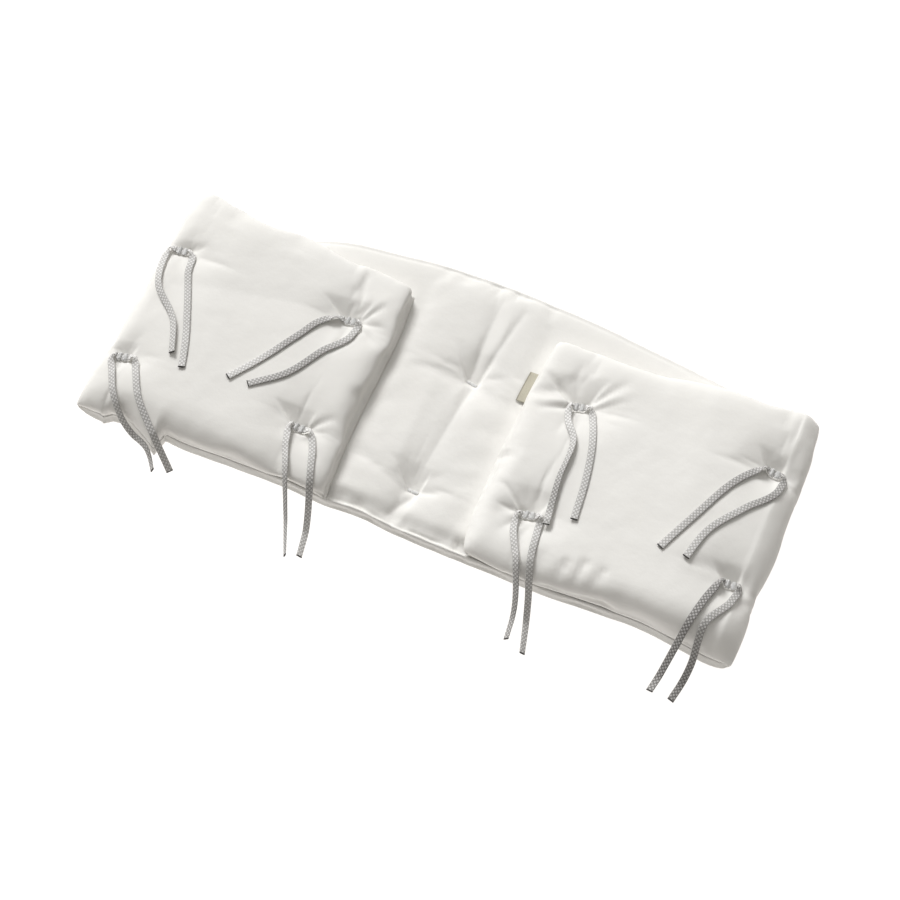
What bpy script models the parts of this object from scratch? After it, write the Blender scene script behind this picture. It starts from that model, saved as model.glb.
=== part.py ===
"""A crib bumper: one long padded cotton strip, folded at both ends onto its own middle, with eight woven ties.

Metres, +Z up. X runs along the strip and Y across it, with the back edge at +Y. The tables measure
from the middle pair of tacks, and an empty then moves everything to the middle of the footprint.
"""

import math

import bmesh
import bpy
import numpy as np
from mathutils import Vector
from mathutils.bvhtree import BVHTree

MIDDLE = (0.0002, -0.0294, 0.0)  # from the middle tacks to the middle of the footprint

# The padding
SEAM_HEIGHT = 0.0165  # of the base's seam over the surface that it lies on
LAYER_GAP = 0.0020  # between a flap and the base under it
FLAP_LINING = 0.0060  # of padding between a flap's seam and its lower face
EDGE_RADIUS = 0.022  # over which the padding thins to its seam
EDGE_SWELL = 0.012  # how strongly the outer face rolls out past the seam
EDGE_SEAT = 0.10  # share of the lining that a flap's edge keeps under its seam
CROWN = 0.08  # how much fuller the middle is than the sides
FOLD_REACH = 0.025  # from where a fold starts to its outermost line

# The ties
TAPE_WIDTH = 0.0076
TAPE_THICK = 0.0014
STITCHED_LENGTH = 0.0125  # of the stretch of tape that is sewn down
TAPE_CLEAR = 0.0010  # between a tape and what is under it
TAPE_FALL = 1.0  # the slope at which a tape comes down off the pad's edge
TURN_ROLL = 58.0  # degrees that a tape tips up where it turns out of its stitching
TOUCH = 0.0003  # the gap that touching pieces keep


def table(columns, *rows):
    """A table as one array for each of its named columns."""
    return {name: np.array([row[i] for row in rows]) for i, name in enumerate(columns.split())}


# The strip's layers: the seam lines of both long edges, and the top face over the surface or the
# padding above the flap's seam.
BASE = table(
    "x front back top",
    (-0.347, -0.119, 0.163, 0.0205),
    (-0.310, -0.114, 0.152, 0.0220),
    (-0.247, -0.117, 0.158, 0.0225),
    (-0.189, -0.115, 0.1765, 0.0225),
    (-0.130, -0.114, 0.185, 0.0225),
    (-0.084, -0.116, 0.191, 0.0225),
    (-0.045, -0.114, 0.193, 0.0225),
    (-0.004, -0.117, 0.194, 0.0225),
    (0.050, -0.118, 0.192, 0.0225),
    (0.106, -0.118, 0.189, 0.0225),
    (0.165, -0.118, 0.1825, 0.0225),
    (0.222, -0.115, 0.176, 0.0230),
    (0.266, -0.113, 0.170, 0.0240),
    (0.310, -0.117, 0.160, 0.0240),
    (0.342, -0.121, 0.161, 0.0230),
)
LEFT_FLAP = table(
    "x front back padding",
    (-0.347, -0.113, 0.162, 0.0125),
    (-0.311, -0.105, 0.156, 0.0135),
    (-0.270, -0.1105, 0.150, 0.0140),
    (-0.240, -0.112, 0.152, 0.0140),
    (-0.180, -0.112, 0.144, 0.0145),
    (-0.120, -0.113, 0.140, 0.0145),
    (-0.089, -0.116, 0.138, 0.0140),
)
RIGHT_FLAP = table(
    "x front back padding",
    (0.069, -0.115, 0.141, 0.0150),
    (0.121, -0.118, 0.141, 0.0160),
    (0.167, -0.117, 0.144, 0.0170),
    (0.200, -0.115, 0.148, 0.0180),
    (0.233, -0.113, 0.153, 0.0190),
    (0.270, -0.112, 0.155, 0.0200),
    (0.310, -0.1115, 0.156, 0.0195),
    (0.342, -0.1065, 0.1605, 0.0170),
)
# The two folds' outermost lines and the two flaps' free ends, by their distance across the strip.
ACROSS = table(
    "y left_fold left_end right_end right_fold",
    (-0.118, -0.3715, -0.083, 0.076, 0.3670),
    (-0.095, -0.3730, -0.085, 0.070, 0.3690),
    (-0.050, -0.3690, -0.088, 0.067, 0.3685),
    (0.000, -0.3705, -0.089, 0.066, 0.3725),
    (0.050, -0.3700, -0.089, 0.067, 0.3710),
    (0.090, -0.3700, -0.090, 0.068, 0.3710),
    (0.140, -0.3685, -0.096, 0.073, 0.3675),
    (0.165, -0.3600, -0.099, 0.078, 0.3605),
)
# Pinches where the ties are sewn through: on the flaps' tops, in the base's two faces.
TUFTS = table(
    "face x y depth radius",
    ("top", -0.349, 0.0835, 0.0075, 0.026),
    ("top", -0.3475, -0.0600, 0.0070, 0.024),
    ("top", -0.141, 0.0755, 0.0100, 0.030),
    ("top", -0.137, -0.0625, 0.0095, 0.030),
    ("top", 0.124, 0.0765, 0.0115, 0.032),
    ("top", 0.123, -0.0595, 0.0105, 0.030),
    ("top", 0.339, 0.0845, 0.0095, 0.027),
    ("top", 0.339, -0.0495, 0.0095, 0.027),
    ("inside", 0.004, 0.0710, 0.0080, 0.030),
    ("inside", -0.004, -0.0710, 0.0080, 0.030),
    ("under", 0.004, 0.0710, 0.0050, 0.022),
    ("under", -0.004, -0.0710, 0.0050, 0.022),
)
# Troughs in the faces; a negative depth is a ridge.
CREASES = table(
    "face x0 y0 x1 y1 depth width",
    ("inside", 0.000, 0.074, -0.003, 0.175, 0.0030, 0.008),
    ("inside", 0.010, 0.074, 0.030, 0.168, 0.0030, 0.008),
    ("inside", 0.016, 0.110, 0.012, 0.160, -0.0015, 0.008),
    ("inside", 0.007, 0.060, -0.003, -0.064, 0.0025, 0.009),
    ("inside", -0.034, 0.060, -0.030, -0.070, -0.0015, 0.014),
    ("inside", 0.001, -0.078, -0.017, -0.108, 0.0030, 0.008),
    ("inside", -0.012, -0.074, -0.043, -0.065, 0.0020, 0.008),
    ("top", 0.113, 0.082, 0.075, 0.106, 0.0050, 0.007),
    ("top", 0.129, 0.083, 0.160, 0.123, 0.0050, 0.007),
    ("top", 0.115, 0.070, 0.078, 0.061, 0.0030, 0.007),
    ("top", 0.135, 0.080, 0.172, 0.112, -0.0020, 0.007),
    ("top", 0.113, -0.056, 0.082, -0.032, 0.0040, 0.007),
    ("top", 0.111, -0.065, 0.073, -0.072, 0.0030, 0.007),
    ("top", 0.171, -0.088, 0.185, -0.113, 0.0025, 0.007),
    ("top", 0.196, -0.086, 0.211, -0.112, 0.0025, 0.007),
    ("top", -0.133, 0.080, -0.104, 0.118, 0.0040, 0.007),
    ("top", -0.125, 0.074, -0.085, 0.088, 0.0035, 0.007),
    ("top", -0.343, 0.090, -0.318, 0.095, 0.0035, 0.007),
    ("top", -0.325, 0.045, -0.162, 0.078, 0.0018, 0.020),
    ("top", 0.331, 0.090, 0.305, 0.094, 0.0035, 0.007),
    ("top", 0.333, -0.044, 0.305, -0.040, 0.0030, 0.007),
)
# Pointed puckers that the base's front seam makes beside the left fold.
PUCKERS = table("x reach left right", (-0.3415, 0.005, 0.010, 0.008), (-0.2750, 0.020, 0.045, 0.004))

TIES = table(
    "x y turn",
    (-0.349, 0.0835, 8),
    (-0.3475, -0.0600, 10),
    (-0.141, 0.0755, 12),
    (-0.137, -0.0625, 2),
    (0.124, 0.0765, 14),
    (0.123, -0.0595, 7),
    (0.339, 0.0845, 0),
    (0.339, -0.0495, 8),
)
# Each tape from the end of its stitching to its free end: how far it goes on before it turns, how far
# it stands up on its outer edge, in degrees, half-way and at its end, and the places it passes, seen
# from above. They are laid in this order, so that the fifth tie's first tape ends on the sixth's.
TAPES = (
    # tie, side, goes on, half-way roll, end roll, places
    (1, "a", 0.0070, 20, 30, ((-0.362, 0.069), (-0.353, 0.036), (-0.314, -0.004), (-0.297, -0.040))),
    (1, "b", 0.0010, 5, 0, ((-0.327, 0.056), (-0.306, 0.014), (-0.290, -0.022), (-0.280, -0.051))),
    (2, "a", 0.0015, 30, 60, ((-0.347, -0.084), (-0.319, -0.121), (-0.281, -0.139), (-0.268, -0.155))),
    (2, "b", 0.0070, 0, 0, ((-0.325, -0.071), (-0.308, -0.098), (-0.281, -0.124), (-0.251, -0.148))),
    (3, "a", 0.0070, 0, 0, ((-0.164, 0.066), (-0.183, 0.033), (-0.206, -0.007), (-0.230, -0.042))),
    (3, "b", 0.0015, 5, 0, ((-0.131, 0.059), (-0.151, 0.026), (-0.173, -0.012), (-0.207, -0.041))),
    (4, "a", 0.0010, 45, 70, ((-0.143, -0.079), (-0.131, -0.108), (-0.115, -0.147), (-0.097, -0.187))),
    (4, "b", 0.0060, 20, 45, ((-0.116, -0.074), (-0.106, -0.098), (-0.093, -0.136), (-0.083, -0.182))),
    (6, "a", 0.0040, 35, 50, ((0.113, -0.074), (0.130, -0.112), (0.144, -0.146), (0.149, -0.180))),
    (6, "b", 0.0060, 10, 45, ((0.138, -0.073), (0.144, -0.107), (0.156, -0.140), (0.170, -0.188))),
    (5, "a", 0.0010, 45, 10, ((0.118, 0.059), (0.133, 0.036), (0.137, -0.014), (0.144, -0.066))),
    (5, "b", 0.0050, 0, 0, ((0.143, 0.066), (0.153, 0.040), (0.162, 0.001), (0.168, -0.050))),
    (7, "a", 0.0040, 0, 0, ((0.321, 0.077), (0.304, 0.053), (0.281, 0.004), (0.259, -0.045))),
    (7, "b", 0.0020, 0, 0, ((0.349, 0.066), (0.324, 0.030), (0.297, -0.010), (0.287, -0.045))),
    (8, "a", 0.0030, 5, 20, ((0.325, -0.062), (0.316, -0.098), (0.309, -0.136), (0.302, -0.173))),
    (8, "b", 0.0010, 10, 20, ((0.346, -0.066), (0.329, -0.103), (0.331, -0.138), (0.325, -0.174))),
)
TACKS = (("tack_back", 0.0040, 0.0710, -6), ("tack_front", -0.0025, -0.0710, -2))
TACK_SIZE = (0.0120, 0.0036, 0.0012)
LABEL_EDGE = (0.066, 0.104)  # the stretch of the right flap's free end that the label is sewn to
LABEL_WIDTH = 0.0105
LABEL_THICK = 0.0010


# %% Shapes


def along(rows, column, x, by="x"):
    """One column of a table at x, in a smooth curve through its rows."""
    knots, values = rows[by], rows[column]
    slopes = np.gradient(values, knots)
    i = np.clip(np.searchsorted(knots, x) - 1, 0, len(knots) - 2)
    step = knots[i + 1] - knots[i]
    t = np.clip((x - knots[i]) / step, 0.0, 1.0)
    start = (1 + 2 * t) * (1 - t) ** 2 * values[i] + t * (1 - t) ** 2 * step * slopes[i]
    return start + t * t * (3 - 2 * t) * values[i + 1] - t * t * (1 - t) * step * slopes[i + 1]


def round_off(distance, radius=EDGE_RADIUS):
    """How full the padding is at this distance from its seam: 0 on the seam, 1 past the radius."""
    inward = np.clip(distance / radius, 0.0, 1.0)
    return np.sqrt(1 - (1 - inward) ** 2)


def roll_out(distance, radius=EDGE_RADIUS):
    """How far the outer face leans out at this distance from the seam, as a share of the swell."""
    return np.sin(math.pi * np.clip(distance / radius, 0.0, 1.0))


def rows_across(front, back):
    """The places of the mesh's rows between the two long seams, closer together near them."""
    near = np.array([0.0, 0.0016, 0.0052, 0.0110, 0.0195])
    middle = np.linspace(front + 0.030, back - 0.030, 17)
    return np.concatenate([front + near, middle, (back - near)[::-1]])


def base_front(x):
    """The base's front seam, with its pointed puckers."""
    y = along(BASE, "front", x)
    for at, reach, left, right in zip(*PUCKERS.values()):
        y = y - reach * max(0.0, 1 - (at - x) / left if x < at else 1 - (x - at) / right)
    return y


def base_top(x, y):
    """The height of the base's upper face, without its pinches."""
    edge = np.minimum(y - along(BASE, "front", x), along(BASE, "back", x) - y)
    return SEAM_HEIGHT + (along(BASE, "top", x) - SEAM_HEIGHT) * round_off(edge)


def relief(face, x, y):
    """How far the pinches and creases of a face press it in at x, y."""
    depth = np.zeros(np.broadcast(x, y).shape)
    for i in np.flatnonzero(TUFTS["face"] == face):
        away = np.hypot(x - TUFTS["x"][i], y - TUFTS["y"][i]) / TUFTS["radius"][i]
        depth = depth + TUFTS["depth"][i] * np.exp(-(away**1.5) * 1.6)
    for i in np.flatnonzero(CREASES["face"] == face):
        start = np.array([CREASES["x0"][i], CREASES["y0"][i]])
        run = np.array([CREASES["x1"][i], CREASES["y1"][i]]) - start
        share = ((x - start[0]) * run[0] + (y - start[1]) * run[1]) / (run @ run)
        inside = np.clip(share, 0.0, 1.0)
        away = np.hypot(x - start[0] - inside * run[0], y - start[1] - inside * run[1])
        fade = np.sqrt(np.clip(1.15 - inside, 0.0, 1.0))
        depth = depth + CREASES["depth"][i] * fade * np.exp(-((away / CREASES["width"][i]) ** 2))
    return depth


# %% The folded strip


def stations():
    """Every cross-section along the strip, from the left flap's free end to the right one's.

    Each is its side, its x, how far the fold has turned there (0 on the base, pi on a flap) and its
    distance from the free end.
    """
    near = [0.0, 0.0016, 0.0052, 0.0110, 0.0195]

    def flap(side, end, fold):
        length = abs(fold - end)
        steps = near + list(np.linspace(0.032, length, 16))
        return [(side, end + side * step, math.pi, step) for step in steps]

    def turns(side, fold):
        return [(side, fold, angle, 1.0) for angle in np.linspace(math.pi, 0, 10)[1:-1]]

    left = along(ACROSS, "left_fold", 0.0, "y") + FOLD_REACH
    right = along(ACROSS, "right_fold", 0.0, "y") - FOLD_REACH
    left_end = along(ACROSS, "left_end", 0.0, "y")
    right_end = along(ACROSS, "right_end", 0.0, "y")
    hidden_left = list(np.linspace(left, left_end - 0.02, 12)[:-1])
    for at, width_left, width_right in zip(PUCKERS["x"], PUCKERS["left"], PUCKERS["right"]):
        steps = (at - width_left, at - width_right, at, at + width_right)
        hidden_left += [x for x in steps if x > left + 0.001]
    hidden_left.sort()
    shown = np.linspace(left_end - 0.02, right_end + 0.02, 17)
    hidden_right = np.linspace(right_end + 0.02, right, 13)[1:]
    base = [(1 if x > 0 else -1, x, 0.0, 1.0) for x in (*hidden_left, *shown, *hidden_right)]
    return (
        flap(-1, left_end, left)
        + turns(-1, left)
        + base
        + turns(1, right)[::-1]
        + flap(1, right_end, right)[::-1]
    )


def cross_section(side, x, turn, from_end):
    """The outer and the inner face of the strip at one station, as two rows of points."""
    flap, name = (LEFT_FLAP, "left") if side < 0 else (RIGHT_FLAP, "right")
    share = (1 - math.cos(turn)) / 2  # 0 on the base, 1 on the flap
    front = base_front(x) * (1 - share) + along(flap, "front", x) * share
    back = along(BASE, "back", x) * (1 - share) + along(flap, "back", x) * share
    y = rows_across(front, back)
    edge = np.minimum(y - front, back - y)
    full = round_off(edge) * round_off(from_end, 0.020)
    crown = 1 - CROWN * ((2 * y - front - back) / (back - front)) ** 2

    # The seam line's height, and the padding on either side of it.
    lining = along(BASE, "top", x) - SEAM_HEIGHT
    below = (lining * (1 - share) + FLAP_LINING * share) * full * crown
    padding = along(flap, "padding", x)
    above = SEAM_HEIGHT * (1 - share) * full + padding * share * full * crown
    seat = base_top(x, y) + LAYER_GAP + FLAP_LINING * np.maximum(full * crown, EDGE_SEAT)
    height = SEAM_HEIGHT * (1 - share) + seat * share

    # The fold's outermost line fixes how far its seam line stands out.
    out = math.sin(turn)
    reach = np.abs(along(ACROSS, name + "_fold", y, "y") - x) - above
    plan_x = x + side * out * reach
    if turn == math.pi:
        end_line = along(ACROSS, name + "_end", y, "y") - along(ACROSS, name + "_end", 0.0, "y")
        plan_x = x + end_line * max(0.0, 1 - from_end / 0.09) ** 2

    lean = EDGE_SWELL * roll_out(edge) * round_off(from_end, 0.020)
    outward = np.where(y - front < back - y, -1, 1) * lean
    end_lean = -side * 0.5 * EDGE_SWELL * roll_out(from_end, 0.020) * (turn == math.pi)
    outer_x, outer_y = plan_x + side * out * above + end_lean * full, y + outward
    outer_z = height - math.cos(turn) * above
    inner_x, inner_z = plan_x - side * out * below, height + math.cos(turn) * below

    upper = max(0.0, -math.cos(turn))
    outer_z = outer_z - upper * full * relief("top", outer_x, outer_y)
    if turn == 0.0:
        outer_z = outer_z + full * relief("under", outer_x, outer_y) * (full > 0.99)
        inner_z = inner_z - full * relief("inside", inner_x, y)
    outer = np.stack([outer_x, outer_y, np.maximum(outer_z, 0.0)], axis=1)
    inner = np.stack([inner_x, y, inner_z], axis=1)
    return outer, inner


def pad_mesh():
    """The whole folded pad: two skins of quads that share the points of the seam round the edge."""
    sections = [cross_section(*station) for station in stations()]
    outer = np.array([section[0] for section in sections])
    inner = np.array([section[1] for section in sections])
    mesh = bmesh.new()
    outside = [[mesh.verts.new(point) for point in row] for row in outer]
    last, side = len(outer) - 1, outer.shape[1] - 1
    inside = [
        [
            outside[i][j] if i in (0, last) or j in (0, side) else mesh.verts.new(inner[i, j])
            for j in range(side + 1)
        ]
        for i in range(last + 1)
    ]
    for skin in (outside, inside):
        for i in range(last):
            for j in range(side):
                corners = (skin[i][j], skin[i + 1][j], skin[i + 1][j + 1], skin[i][j + 1])
                mesh.faces.new(corners if skin is inside else corners[::-1])
    bmesh.ops.recalc_face_normals(mesh, faces=mesh.faces)
    return mesh


# %% The ties


class Ground:
    """What a piece can lie on: the surface, the pad and the tapes that are laid already."""

    def __init__(self, mesh):
        self.trees = [BVHTree.FromBMesh(mesh)]

    def add(self, mesh):
        self.trees.append(BVHTree.FromBMesh(mesh))

    def height(self, x, y):
        hits = [tree.ray_cast(Vector((x, y, 1.0)), Vector((0, 0, -1)))[0] for tree in self.trees]
        return max([0.0] + [hit.z for hit in hits if hit])

    def highest(self, x, y, radius):
        """The highest place within a small square."""
        near = (-radius, 0.0, radius)
        return max(self.height(x + dx, y + dy) for dx in near for dy in near)


def smooth_path(places, count):
    """Points at even steps along a smooth curve through the places."""
    places = np.array(places, float)
    knots = np.concatenate([[0], np.cumsum(np.linalg.norm(np.diff(places, axis=0), axis=1))])
    columns = {"at": knots, "x": places[:, 0], "y": places[:, 1]}
    at = np.linspace(0, knots[-1], 240)
    fine = np.stack([along(columns, "x", at, "at"), along(columns, "y", at, "at")], axis=1)
    length = np.concatenate([[0], np.cumsum(np.linalg.norm(np.diff(fine, axis=0), axis=1))])
    even = np.linspace(0, length[-1], count)
    return np.stack([np.interp(even, length, fine[:, k]) for k in range(2)], axis=1), even


def stitched_end(tie, side):
    """Where a tape leaves the stitching of its tie, and the direction that it leaves in."""
    turn = math.radians(TIES["turn"][tie - 1])
    sign = -1 if side == "a" else 1
    out = np.array([math.cos(turn), math.sin(turn)]) * sign
    middle = np.array([TIES["x"][tie - 1], TIES["y"][tie - 1]])
    return middle + out * (STITCHED_LENGTH / 2 + TOUCH + 0.0002), out


def tape_route(ground, tie, side, goes_on, half_roll, end_roll, places):
    """The line down the middle of a tape, lying on the pad and the surface, and its roll."""
    start, out = stitched_end(tie, side)
    flat, at = smooth_path([start, start + goes_on * out, *places], 121)
    heading = np.gradient(flat, axis=0)
    heading /= np.linalg.norm(heading, axis=1)[:, None]
    across = np.stack([-heading[:, 1], heading[:, 0]], axis=1)
    share = at / at[-1]
    roll = np.interp(share, (0.0, 0.15, 0.5, 1.0), (0.0, 0.3 * half_roll, half_roll, end_roll))
    roll = np.maximum(roll, TURN_ROLL * np.exp(-(((at - goes_on - 0.003) / 0.006) ** 2)))
    roll = np.radians(roll) * np.clip(at / 0.002, 0.0, 1.0)
    half = TAPE_WIDTH / 2 * np.cos(roll)
    under = np.max(
        [
            [ground.highest(*place, 0.0012) for place in flat + shift * half[:, None] * across]
            for shift in (-1.0, -0.5, 0.0, 0.5, 1.0)
        ],
        axis=0,
    )
    stands = TAPE_THICK / 2 * np.cos(roll) + TAPE_WIDTH / 2 * np.sin(np.abs(roll))
    lying = under + stands + TAPE_CLEAR
    steps = np.abs(at[:, None] - at[None, :])
    z = np.max(lying[None, :] - TAPE_FALL * steps, axis=1)
    for _ in range(30):
        z[1:-1] = np.maximum(z[1:-1], (z[:-2] + 2 * z[1:-1] + z[2:]) / 4)
    return np.column_stack([flat, z]), roll if side == "a" else -roll


def tape_mesh(line, roll):
    """A flat tape along a line: a thin rectangle swept with the roll."""
    mesh = bmesh.new()
    heading = np.gradient(line, axis=0)
    heading[0, 2] = 0.0  # it leaves its stitching level
    rings = []
    for point, ahead, angle in zip(line, heading, roll):
        ahead = Vector(ahead).normalized()
        level = Vector((-ahead.y, ahead.x, 0)).normalized()
        up = ahead.cross(level)
        wide = (level * math.cos(angle) + up * math.sin(angle)) * (TAPE_WIDTH / 2)
        thick = (up * math.cos(angle) - level * math.sin(angle)) * (TAPE_THICK / 2)
        middle = Vector(point)
        corners = ((-1, -1), (1, -1), (1, 1), (-1, 1))
        rings.append([mesh.verts.new(middle + wide * u + thick * v) for u, v in corners])
    for first, second in zip(rings, rings[1:]):
        for k in range(4):
            mesh.faces.new((first[k], first[(k + 1) % 4], second[(k + 1) % 4], second[k]))
    mesh.faces.new(rings[0][::-1])
    mesh.faces.new(rings[-1])
    bmesh.ops.recalc_face_normals(mesh, faces=mesh.faces)
    return mesh


def laid_slab(ground, x, y, turn, size, gap):
    """A small sewn piece that lies on the pad: a thin slab, level across, set down in its pinch."""
    length, width, thick = size
    angle = math.radians(turn)
    along_it = np.array([math.cos(angle), math.sin(angle)])
    across_it = np.array([-along_it[1], along_it[0]])
    mesh = bmesh.new()
    steps = np.linspace(-0.5, 0.5, 5)
    grid = []
    for u in steps:
        row = []
        for v in (-0.5, 0.0, 0.5):
            place = np.array([x, y]) + u * length * along_it + v * width * across_it
            low = ground.highest(*place, 0.0022) + gap
            row.append([mesh.verts.new((*place, low)), mesh.verts.new((*place, low + thick))])
        grid.append(row)
    for k, order in ((0, -1), (1, 1)):
        for i in range(4):
            for j in range(2):
                quad = [grid[i][j][k], grid[i + 1][j][k], grid[i + 1][j + 1][k], grid[i][j + 1][k]]
                mesh.faces.new(quad[::order])
    rim = [row[0] for row in grid] + [grid[-1][1]] + [row[2] for row in grid[::-1]] + [grid[0][1]]
    for here, there in zip(rim, rim[1:] + rim[:1]):
        mesh.faces.new((here[0], there[0], there[1], here[1]))
    bmesh.ops.recalc_face_normals(mesh, faces=mesh.faces)
    return mesh


def label_mesh():
    """The label: a small sheet sewn into the right flap's free end, which slopes down to the base."""
    mesh = bmesh.new()
    sheet = []
    for y in np.linspace(LABEL_EDGE[0], LABEL_EDGE[1], 7):
        end = float(along(ACROSS, "right_end", y, "y"))
        seam = float(base_top(end, y)) + LAYER_GAP + FLAP_LINING * EDGE_SEAT
        row = []
        for share in (0.0, 0.5, 1.0):
            x = end - TOUCH - 0.0001 - LABEL_WIDTH * share
            heights = (seam - 0.0008 * share + LABEL_THICK * half for half in (-0.5, 0.5))
            row.append([mesh.verts.new((x, y, z)) for z in heights])
        sheet.append(row)
    for k in (0, 1):
        for first, second in zip(sheet, sheet[1:]):
            for j in range(2):
                mesh.faces.new((first[j][k], second[j][k], second[j + 1][k], first[j + 1][k]))
    rim = [row[0] for row in sheet] + [sheet[-1][1]] + [row[2] for row in sheet[::-1]] + [sheet[0][1]]
    for here, there in zip(rim, rim[1:] + rim[:1]):
        mesh.faces.new((here[0], there[0], there[1], here[1]))
    bmesh.ops.recalc_face_normals(mesh, faces=mesh.faces)
    return mesh


# %% Objects


def cloth(name, colour, roughness):
    """A plain cloth material."""
    material = bpy.data.materials.new(name)
    material.use_nodes = True
    shader = material.node_tree.nodes["Principled BSDF"]
    shader.inputs["Base Color"].default_value = (*colour, 1.0)
    shader.inputs["Roughness"].default_value = roughness
    shader.inputs["Metallic"].default_value = 0.0
    return material


def piece(name, mesh, material, parent):
    """One object from a bmesh, under the empty that centres the whole."""
    data = bpy.data.meshes.new(name)
    mesh.to_mesh(data)
    data.shade_smooth()
    data.set_sharp_from_angle(angle=math.radians(50))
    data.materials.append(material)
    made = bpy.data.objects.new(name, data)
    bpy.context.scene.collection.objects.link(made)
    made.parent = parent
    return made


def main():
    for old in list(bpy.data.objects):
        bpy.data.objects.remove(old, do_unlink=True)
    cotton = cloth("white_cotton", (0.84, 0.84, 0.81), 0.9)
    check = cloth("grey_check_tape", (0.42, 0.41, 0.39), 0.85)
    thread = cloth("white_thread", (0.72, 0.71, 0.68), 0.8)
    beige = cloth("beige_label", (0.50, 0.47, 0.37), 0.8)

    whole = bpy.data.objects.new("crib_bumper", None)
    whole.location = MIDDLE
    bpy.context.scene.collection.objects.link(whole)

    pad = pad_mesh()
    ground = Ground(pad)
    piece("pad", pad, cotton, whole)
    for number in range(1, len(TIES["x"]) + 1):
        x, y, turn = (TIES[column][number - 1] for column in ("x", "y", "turn"))
        size = (STITCHED_LENGTH, TAPE_WIDTH, TAPE_THICK)
        piece(f"tie_{number}_stitched", laid_slab(ground, x, y, turn, size, TOUCH), check, whole)
    for number, side, *course in TAPES:
        line, roll = tape_route(ground, number, side, *course)
        keep = np.unique(np.concatenate([np.arange(0, 16), np.arange(16, 121, 6), [120]]))
        tape = tape_mesh(line[keep], roll[keep])
        ground.add(tape)
        piece(f"tie_{number}_tape_{side}", tape, check, whole)
    for name, x, y, turn in TACKS:
        piece(name, laid_slab(ground, x, y, turn, TACK_SIZE, TOUCH), thread, whole)
    piece("label", label_mesh(), beige, whole)


main()
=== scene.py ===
# %% [markdown]
# # A folded crib bumper
#
# A crib bumper is a long padded strip of cotton that is tied to the slats of a cot. This one lies as it is
# put away: both ends folded onto the middle, and the woven tie tapes as they fell. The lesson builds it
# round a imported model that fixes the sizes. The pad comes first, as a coarse net of cross-sections that
# Blender's cloth solver puffs up, then its creases, then the tapes that are laid on it, then the stitches.

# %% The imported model
import math

import bmesh
import bpy
import numpy as np
from mathutils import Matrix, Vector, noise
from mathutils.bvhtree import BVHTree


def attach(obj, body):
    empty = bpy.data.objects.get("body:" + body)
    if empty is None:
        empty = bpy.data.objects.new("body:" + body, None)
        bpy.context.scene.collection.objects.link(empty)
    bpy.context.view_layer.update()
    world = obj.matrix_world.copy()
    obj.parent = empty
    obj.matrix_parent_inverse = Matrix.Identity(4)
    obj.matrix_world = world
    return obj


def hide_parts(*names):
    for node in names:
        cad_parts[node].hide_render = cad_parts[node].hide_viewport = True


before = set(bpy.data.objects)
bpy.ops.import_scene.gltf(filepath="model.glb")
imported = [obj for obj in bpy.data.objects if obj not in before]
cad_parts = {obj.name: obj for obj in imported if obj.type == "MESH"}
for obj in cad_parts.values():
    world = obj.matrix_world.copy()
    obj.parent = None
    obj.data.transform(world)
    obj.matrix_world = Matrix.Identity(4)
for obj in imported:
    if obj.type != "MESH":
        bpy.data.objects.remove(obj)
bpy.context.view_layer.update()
print(len(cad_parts), "packed pieces")

# %% [markdown]
# ## The camera
#
# The tables of this lesson measure from the middle of the strip, where two bar tacks mark the inner face,
# so everything is moved by MIDDLE when it becomes a mesh. The camera looks down at 64 degrees, turned a
# little to the right, through a lens long enough to keep the edges nearly parallel.

# %% Camera
MIDDLE = np.array([0.0002, -0.0294, 0.0])  # from the middle tacks to the middle of the footprint
AIM = np.array([0.0110, -0.0053, 0.0])
TURNED, RAISED, ROLLED = 23.745, 64.440, -0.267  # degrees
DISTANCE, LENS = 2.0, 74.91


def set_camera():
    """The camera, from the way it is turned and raised."""
    turned, raised, rolled = (math.radians(angle) for angle in (TURNED, RAISED, ROLLED))
    back = Vector(
        (math.sin(turned) * math.cos(raised), -math.cos(turned) * math.cos(raised), math.sin(raised))
    )
    level = (-back).cross(Vector((0, 0, 1))).normalized()
    upright = level.cross(-back)
    right = level * math.cos(rolled) + upright * math.sin(rolled)
    up = upright * math.cos(rolled) - level * math.sin(rolled)
    camera = bpy.data.objects.new("camera", bpy.data.cameras.new("camera"))
    camera.matrix_world = Matrix.Translation(Vector(MIDDLE + AIM) + back * DISTANCE) @ Matrix(
        (right, up, back)
    ).transposed().to_4x4()
    camera.data.lens = LENS
    camera.data.sensor_width = 36.0
    bpy.context.scene.collection.objects.link(camera)
    bpy.context.scene.camera = camera


set_camera()
print("camera", [round(value, 3) for value in bpy.context.scene.camera.location])

# %% [markdown]
# ## The sizes of the strip
#
# A maker's drawing of this strip would be a few outlines: the two long seams, the two folds and the two
# free ends. Here they are short tables, read by a smooth curve through their rows. Every height is over
# the surface that the bumper lies on.

# %% Sizes
SEAM_HEIGHT = 0.0165  # of the base's seam
LAYER_GAP = 0.0020  # between a flap and the base under it
FLAP_LINING = 0.0060  # of padding between a flap's seam and its lower face
EDGE_RADIUS = 0.022  # over which the padding thins to its seam
EDGE_SWELL = 0.012  # how strongly the outer face rolls out past the seam
END_RADIUS = 0.020  # the same at a flap's free end
END_SLANT = 0.09  # how far in from a free end its slanting line is followed
EDGE_SEAT = 0.10  # share of the lining that a flap's edge keeps under its seam
CROWN = 0.08  # how much fuller the middle is than the sides
FOLD_REACH = 0.025  # from where a fold starts to its outermost line
SLANT = 0.0045  # how much flatter than round the right fold's side is
SETTLE, SETTLE_REACH = 0.0022, 0.007  # how far a free end comes down onto the base, and over what length
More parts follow.
